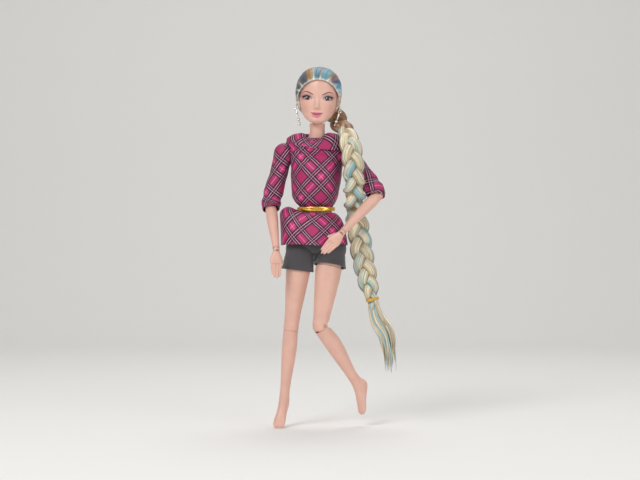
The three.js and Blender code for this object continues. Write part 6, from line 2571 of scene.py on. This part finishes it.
    def sleeve(self, wardrobe: Wardrobe, side: Side, cut: SleeveCut) -> None:
        """Makes a sleeve: a round head, soft folds, a tube that follows the bent elbow, and a cuff.

        Args:
            wardrobe: Puts the pieces on the frame.
            side: The side that it is on.
            cut: Where it ends and bends, and its flat size.
        """
        frames = ArmFrames.of(side)
        reach = cut.turn
        length = UPPER_ARM + cut.beyond
        rise = np.linspace(0.03, 0.5, 26)[:-1] * math.pi
        down = np.linspace(0, 1, 130)
        sizes = Table(self.sleeve_rows)(down)[:, 0] * self.sleeve_half
        sizes = sizes + (self.sleeve_head - sizes) * bell(down, 0.12)
        radius = np.concatenate([self.sleeve_head * np.sin(rise), sizes])
        share = np.concatenate([0 * rise, down])[:, None]
        forearm = np.array((frames.raised.inverted() @ frames.bend).to_3x3() @ Vector((0, 0, -1)))
        elbow = np.array([0, 0, -UPPER_ARM])
        bent = np.clip((down * length - UPPER_ARM + reach) / (2 * reach), 0, 1)[:, None]
        curve = elbow + (1 - bent) ** 2 * np.array([0, 0, reach]) + bent**2 * forearm * reach
        straight = np.outer(-down * length, [0, 0, 1])
        dome = np.outer(self.sleeve_head * np.cos(rise), [0, 0, 1])
        centre = np.concatenate([dome, np.where(bent > 0, curve, straight)])
        bent = np.concatenate([0 * rise, bent[:, 0]])[:, None]
        heading = unit((1 - bent) * np.array([0, 0, -1]) + bent * forearm)
        across = unit(np.array([1, 0, 0]) - heading * heading[:, :1])
        front = np.cross(heading, across)
        angle = circle(150)[None, :]
        folds = 0.45 * np.sin(2 * angle + 8 * share) * np.sin(math.pi * share)
        crook = 0.55 * np.sin(share * 30 + 1.5 * np.cos(angle)) * bell(share - 0.84, 0.16)
        slack = 0.35 * np.sin(share * 17 + 2.4 * np.sin(angle)) * bell(share - 0.35, 0.2)
        cuff = 0.35 * ease(0.945, 0.96, share) + 0.14 * np.sin(angle * 12) * bell(share - 0.92, 0.04)
        out = (radius[:, None] + folds + crook + slack + cuff)[..., None]
        ring = np.sin(angle)[..., None] * across[:, None] + np.cos(angle)[..., None] * front[:, None]
        outer = centre[:, None] + ring * out
        mesh = shell(outer, CLOTH, cloth_coords(outer, (0, self.sleeve_head)))
        name = f"{side.label}_sleeve"
        piece = wardrobe.place(f"{name}_cloth", mesh, SLEEVE_SATIN, [name], frames.raised, crease=60)


@dataclass
class Shorts:
    """Short jersey trousers: a seat over the hips and two flared legs."""

    trunk: Trunk
    top: float = 9
    hem: float = 17.4
    left_hem: float = 14
    gusset: tuple[float, float, float] = (3, 8.5, 6)
    gusset_drop: float = 37.6
    room: float = 0.7
    flare: float = 2.4
    inner_flare: float = 1.2
    cloth: float = 0.9
    half_width: float = 9.6
    half_depth: float = 10.8
    hip_ball: float = 10.5
    leg_flat: tuple[float, float] = (0.075, 0.024)
    seat_flat: tuple[float, float] = (0.11, 0.03)

    def leg_solid(self, side: Side, extra: float) -> bpy.types.Mesh:
        """The filled form of one leg, or the room for it.

        Args:
            side: The side that it is on.
            extra: What is added to its size. Where this isn't 0, the hem is longer and has no waves.

        Returns:
            The solid.
        """
        over = self.room + self.cloth + extra
        length = (self.hem if side is Side.RIGHT else self.left_hem) + abs(extra)
        step = np.linspace(0, 1, 24)[:, None]
        angle = circle(120)[None, :] + 0 * step
        near, far = (self.half_width + over + flare * step for flare in (self.inner_flare, self.flare))
        right, left = (far, near) if side is Side.RIGHT else (near, far)
        deep = self.half_depth + over
        rings = oval(angle, -step * length, right, left, deep, deep)
        if not extra:
            wave = 0.22 * np.sin(angle * 3 + 1.3 + step * 2) * step + 0.12 * np.sin(angle * 7) * step
            hem_line = 0.25 * ease(0.86, 0.9, step) + 0 * wave
            for height in (wave, hem_line):
                rings = rings + unit(rings * np.array([1, 1, 0])) * height[..., None]
        return combine(Operation.JOIN, ball(self.hip_ball + over, sides=96), grid(rings))

    def build(self, wardrobe: Wardrobe) -> None:
        """Makes the seat and both legs.

        Args:
            wardrobe: Puts the pieces on the frame.
        """
        body = grid(self.trunk.outline(GAP))
        rooms = []
        for side in Side:
            frame = LegFrames.of(side).spread
            local = moved(body.copy(), frame.inverted())
            leg = combine(Operation.CUT, self.leg_solid(side, 0), self.leg_solid(side, -self.cloth), local)
            name = f"{side.label}_shorts_leg"
            piece = wardrobe.place(f"{name}_cloth", leg, JERSEY, [name], frame, crease=50)
            rooms.append(moved(self.leg_solid(side, 0.12), frame))
        share = (self.trunk.drop - self.top) / self.trunk.height
        over = grid(self.trunk.outline(self.room + self.cloth, 0, share, 60))
        under = grid(self.trunk.outline(self.room, 0.0, share + 0.01, 60))
        crotch = moved(
            ball(1, sides=64),
            Matrix.Translation((-1, 0, -self.gusset_drop)) @ Matrix.Diagonal((*self.gusset, 1)),
        )
        seat = combine(Operation.CUT, combine(Operation.JOIN, over, crotch), under, *rooms)
        piece = wardrobe.place("shorts_seat_cloth", seat, JERSEY, ["shorts_seat"], crease=50)


@dataclass
class Belt:
    """A gold band round the waist with a long curved buckle in front."""

    half_width: float = 15.2
    half_depth: float = 12.4
    height: float = 3
    drop: float = 0.4
    thickness: float = 0.9
    buckle_half_width: float = 11.6
    buckle_half_height: float = 2.3
    eye_half_width: float = 5.2
    eye_half_height: float = 0.75
    waist_share: float = 0.72

    def on_belt(self, x: np.ndarray, z: np.ndarray, out: np.ndarray) -> np.ndarray:
        """Points on the belt's front, at a distance outside it.

        Args:
            x: Places across.
            z: Heights.
            out: How far outside the belt they lie.

        Returns:
            The points.
        """
        angle = np.arcsin(np.clip(x / self.half_width, -1, 1))
        return np.stack(
            [
                np.sin(angle) * (self.half_width + out),
                -np.cos(angle) * (self.half_depth + out),
                z - self.drop,
            ],
            -1,
        )

    def build(self, wardrobe: Wardrobe) -> None:
        """Makes the band and the buckle.

        Args:
            wardrobe: Puts the pieces on the frame.
        """
        u = np.linspace(-0.5, 0.5, 15)[:, None]
        angle = circle(200)[None, :] + 0 * u
        crown = 0.18 * (1 - (2 * u) ** 2) + 0.03 * np.sin(angle * 31)
        halves = (*(self.half_width + crown,) * 2, *(self.half_depth + crown,) * 2)
        outer = oval(angle, u * self.height - self.drop, *halves)
        mesh = shell(outer, self.thickness, cloth_coords(outer, (0, 0)))
        wardrobe.place("belt_band_vinyl", mesh, GOLD_VINYL, ["belt_band"], crease=50)
        turn = circle(180)
        across, up = np.cos(turn), np.sin(turn)
        height = self.buckle_half_height * (self.waist_share + (1 - self.waist_share) * np.abs(across))
        profile = np.linspace(0, 2 * math.pi, 28, endpoint=False)
        share = (1 - np.cos(profile)) / 2
        lift = np.sin(profile)
        wave = 0.3 * np.sin(across * 7)
        width = self.eye_half_width + (self.buckle_half_width - self.eye_half_width) * share[None, :]
        tall = self.eye_half_height + (height[:, None] - self.eye_half_height) * share[None, :]
        x = width * across[:, None]
        z = tall * up[:, None] + wave[:, None] * (1 - share[None, :])
        out = 0.3 + 0.45 + 0.45 * lift[None, :] + 0 * x + 0.25 * (np.abs(across) ** 3)[:, None]
        buckle = grid(self.on_belt(x, z, out), loop=True)
        wardrobe.place("belt_buckle_gold", buckle, GOLD, ["belt_buckle"], crease=70)


@dataclass
class Studio:
    """A pale floor and wall, soft light and the camera."""

    distance: float = 1.2
    lens: float = 83
    middle: tuple[float, float] = (0.0032, -0.0255)
    paper: Finish = Finish("matte_studio_paper", "#f1f0ee", 0.9)
    sky: str = "#f6f4f2"
    sky_strength: float = 0.4
    lamps: Sequence[tuple[str, tuple[float, float, float], float, float]] = (
        ("key", (-0.7, -1.1, 0.9), 0.75, 11.2),
        ("fill", (0.95, -1.0, 0.35), 1.1, 5.0),
        ("top", (0.1, 0.35, 1.1), 0.8, 5.0),
    )

    def camera(self) -> None:
        """Puts the camera straight in front, at the height of the picture's middle."""
        data = bpy.data.cameras.new("camera")
        data.lens, data.sensor_width = self.lens, 36
        data.clip_start, data.clip_end = 0.01, 20
        camera = bpy.data.objects.new("camera", data)
        bpy.context.scene.collection.objects.link(camera)
        camera.location = (self.middle[0], -self.distance, self.middle[1])
        camera.rotation_euler = (math.radians(90), 0, 0)
        bpy.context.scene.camera = camera

    def floor(self, height: float) -> None:
        """Lays the floor, which curves up into the wall.

        Args:
            height: The floor's height, in metres.
        """
        bend = np.radians(np.linspace(0, 90, 24))
        radius, depth = 0.5, 0.9
        curve = [(depth + radius * math.sin(a), radius * (1 - math.cos(a))) for a in bend]
        line = [(-3.0, 0.0), *curve, (depth + radius, 3.0)]
        points = [(x, y, z + height) for y, z in line for x in (-4, 4)]
        faces = [(2 * k, 2 * k + 1, 2 * k + 3, 2 * k + 2) for k in range(len(line) - 1)]
        mesh = bpy.data.meshes.new("studio_sweep")
        mesh.from_pydata(points, [], faces)
        mesh.shade_smooth()
        sweep = bpy.data.objects.new("studio_sweep", mesh)
        bpy.context.scene.collection.objects.link(sweep)
        mesh.materials.append(self.paper.make())
        sweep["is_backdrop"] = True

    def lights(self) -> None:
        """Hangs a large soft key, a fill and a light from behind."""
        for name, place, size, power in self.lamps:
            data = bpy.data.lights.new(name, "AREA")
            data.shape, data.size, data.energy = "DISK", size, power
            lamp = bpy.data.objects.new(name, data)
            bpy.context.scene.collection.objects.link(lamp)
            lamp.location = place
            lamp.rotation_euler = (Vector((0, 0, 0)) - Vector(place)).to_track_quat("-Z", "Y").to_euler()
        world = bpy.data.worlds.new("studio")
        bpy.context.scene.world = world
        world.use_nodes = True
        background = world.node_tree.nodes["Background"]
        feed(world.node_tree, background, {"Color": tuple(colour(self.sky)), "Strength": self.sky_strength})
        bpy.context.scene.view_settings.view_transform = "Standard"


def main() -> None:
    """Builds the dressed doll and the studio."""
    logging.basicConfig(level=logging.INFO, format="%(message)s")
    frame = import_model()
    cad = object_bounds()
    wardrobe = Wardrobe(frame)
    studio = Studio()
    studio.camera()
    head, trunk = Head(), Trunk()
    assemblies = [trunk, head, HairCap(head), Braid(), Earrings(head)]
    for side in Side:
        assemblies += [Arm(side), Leg(side)]
    for assembly in (*assemblies, Blouse(), Shorts(trunk), Belt()):
        assembly.build(wardrobe)
    wardrobe.finish_nodes({"pin": JOINT, "axle": JOINT, "": SKIN})
    studio.floor(cad[0][2])
    studio.lights()


if __name__ == "__main__":
    main()
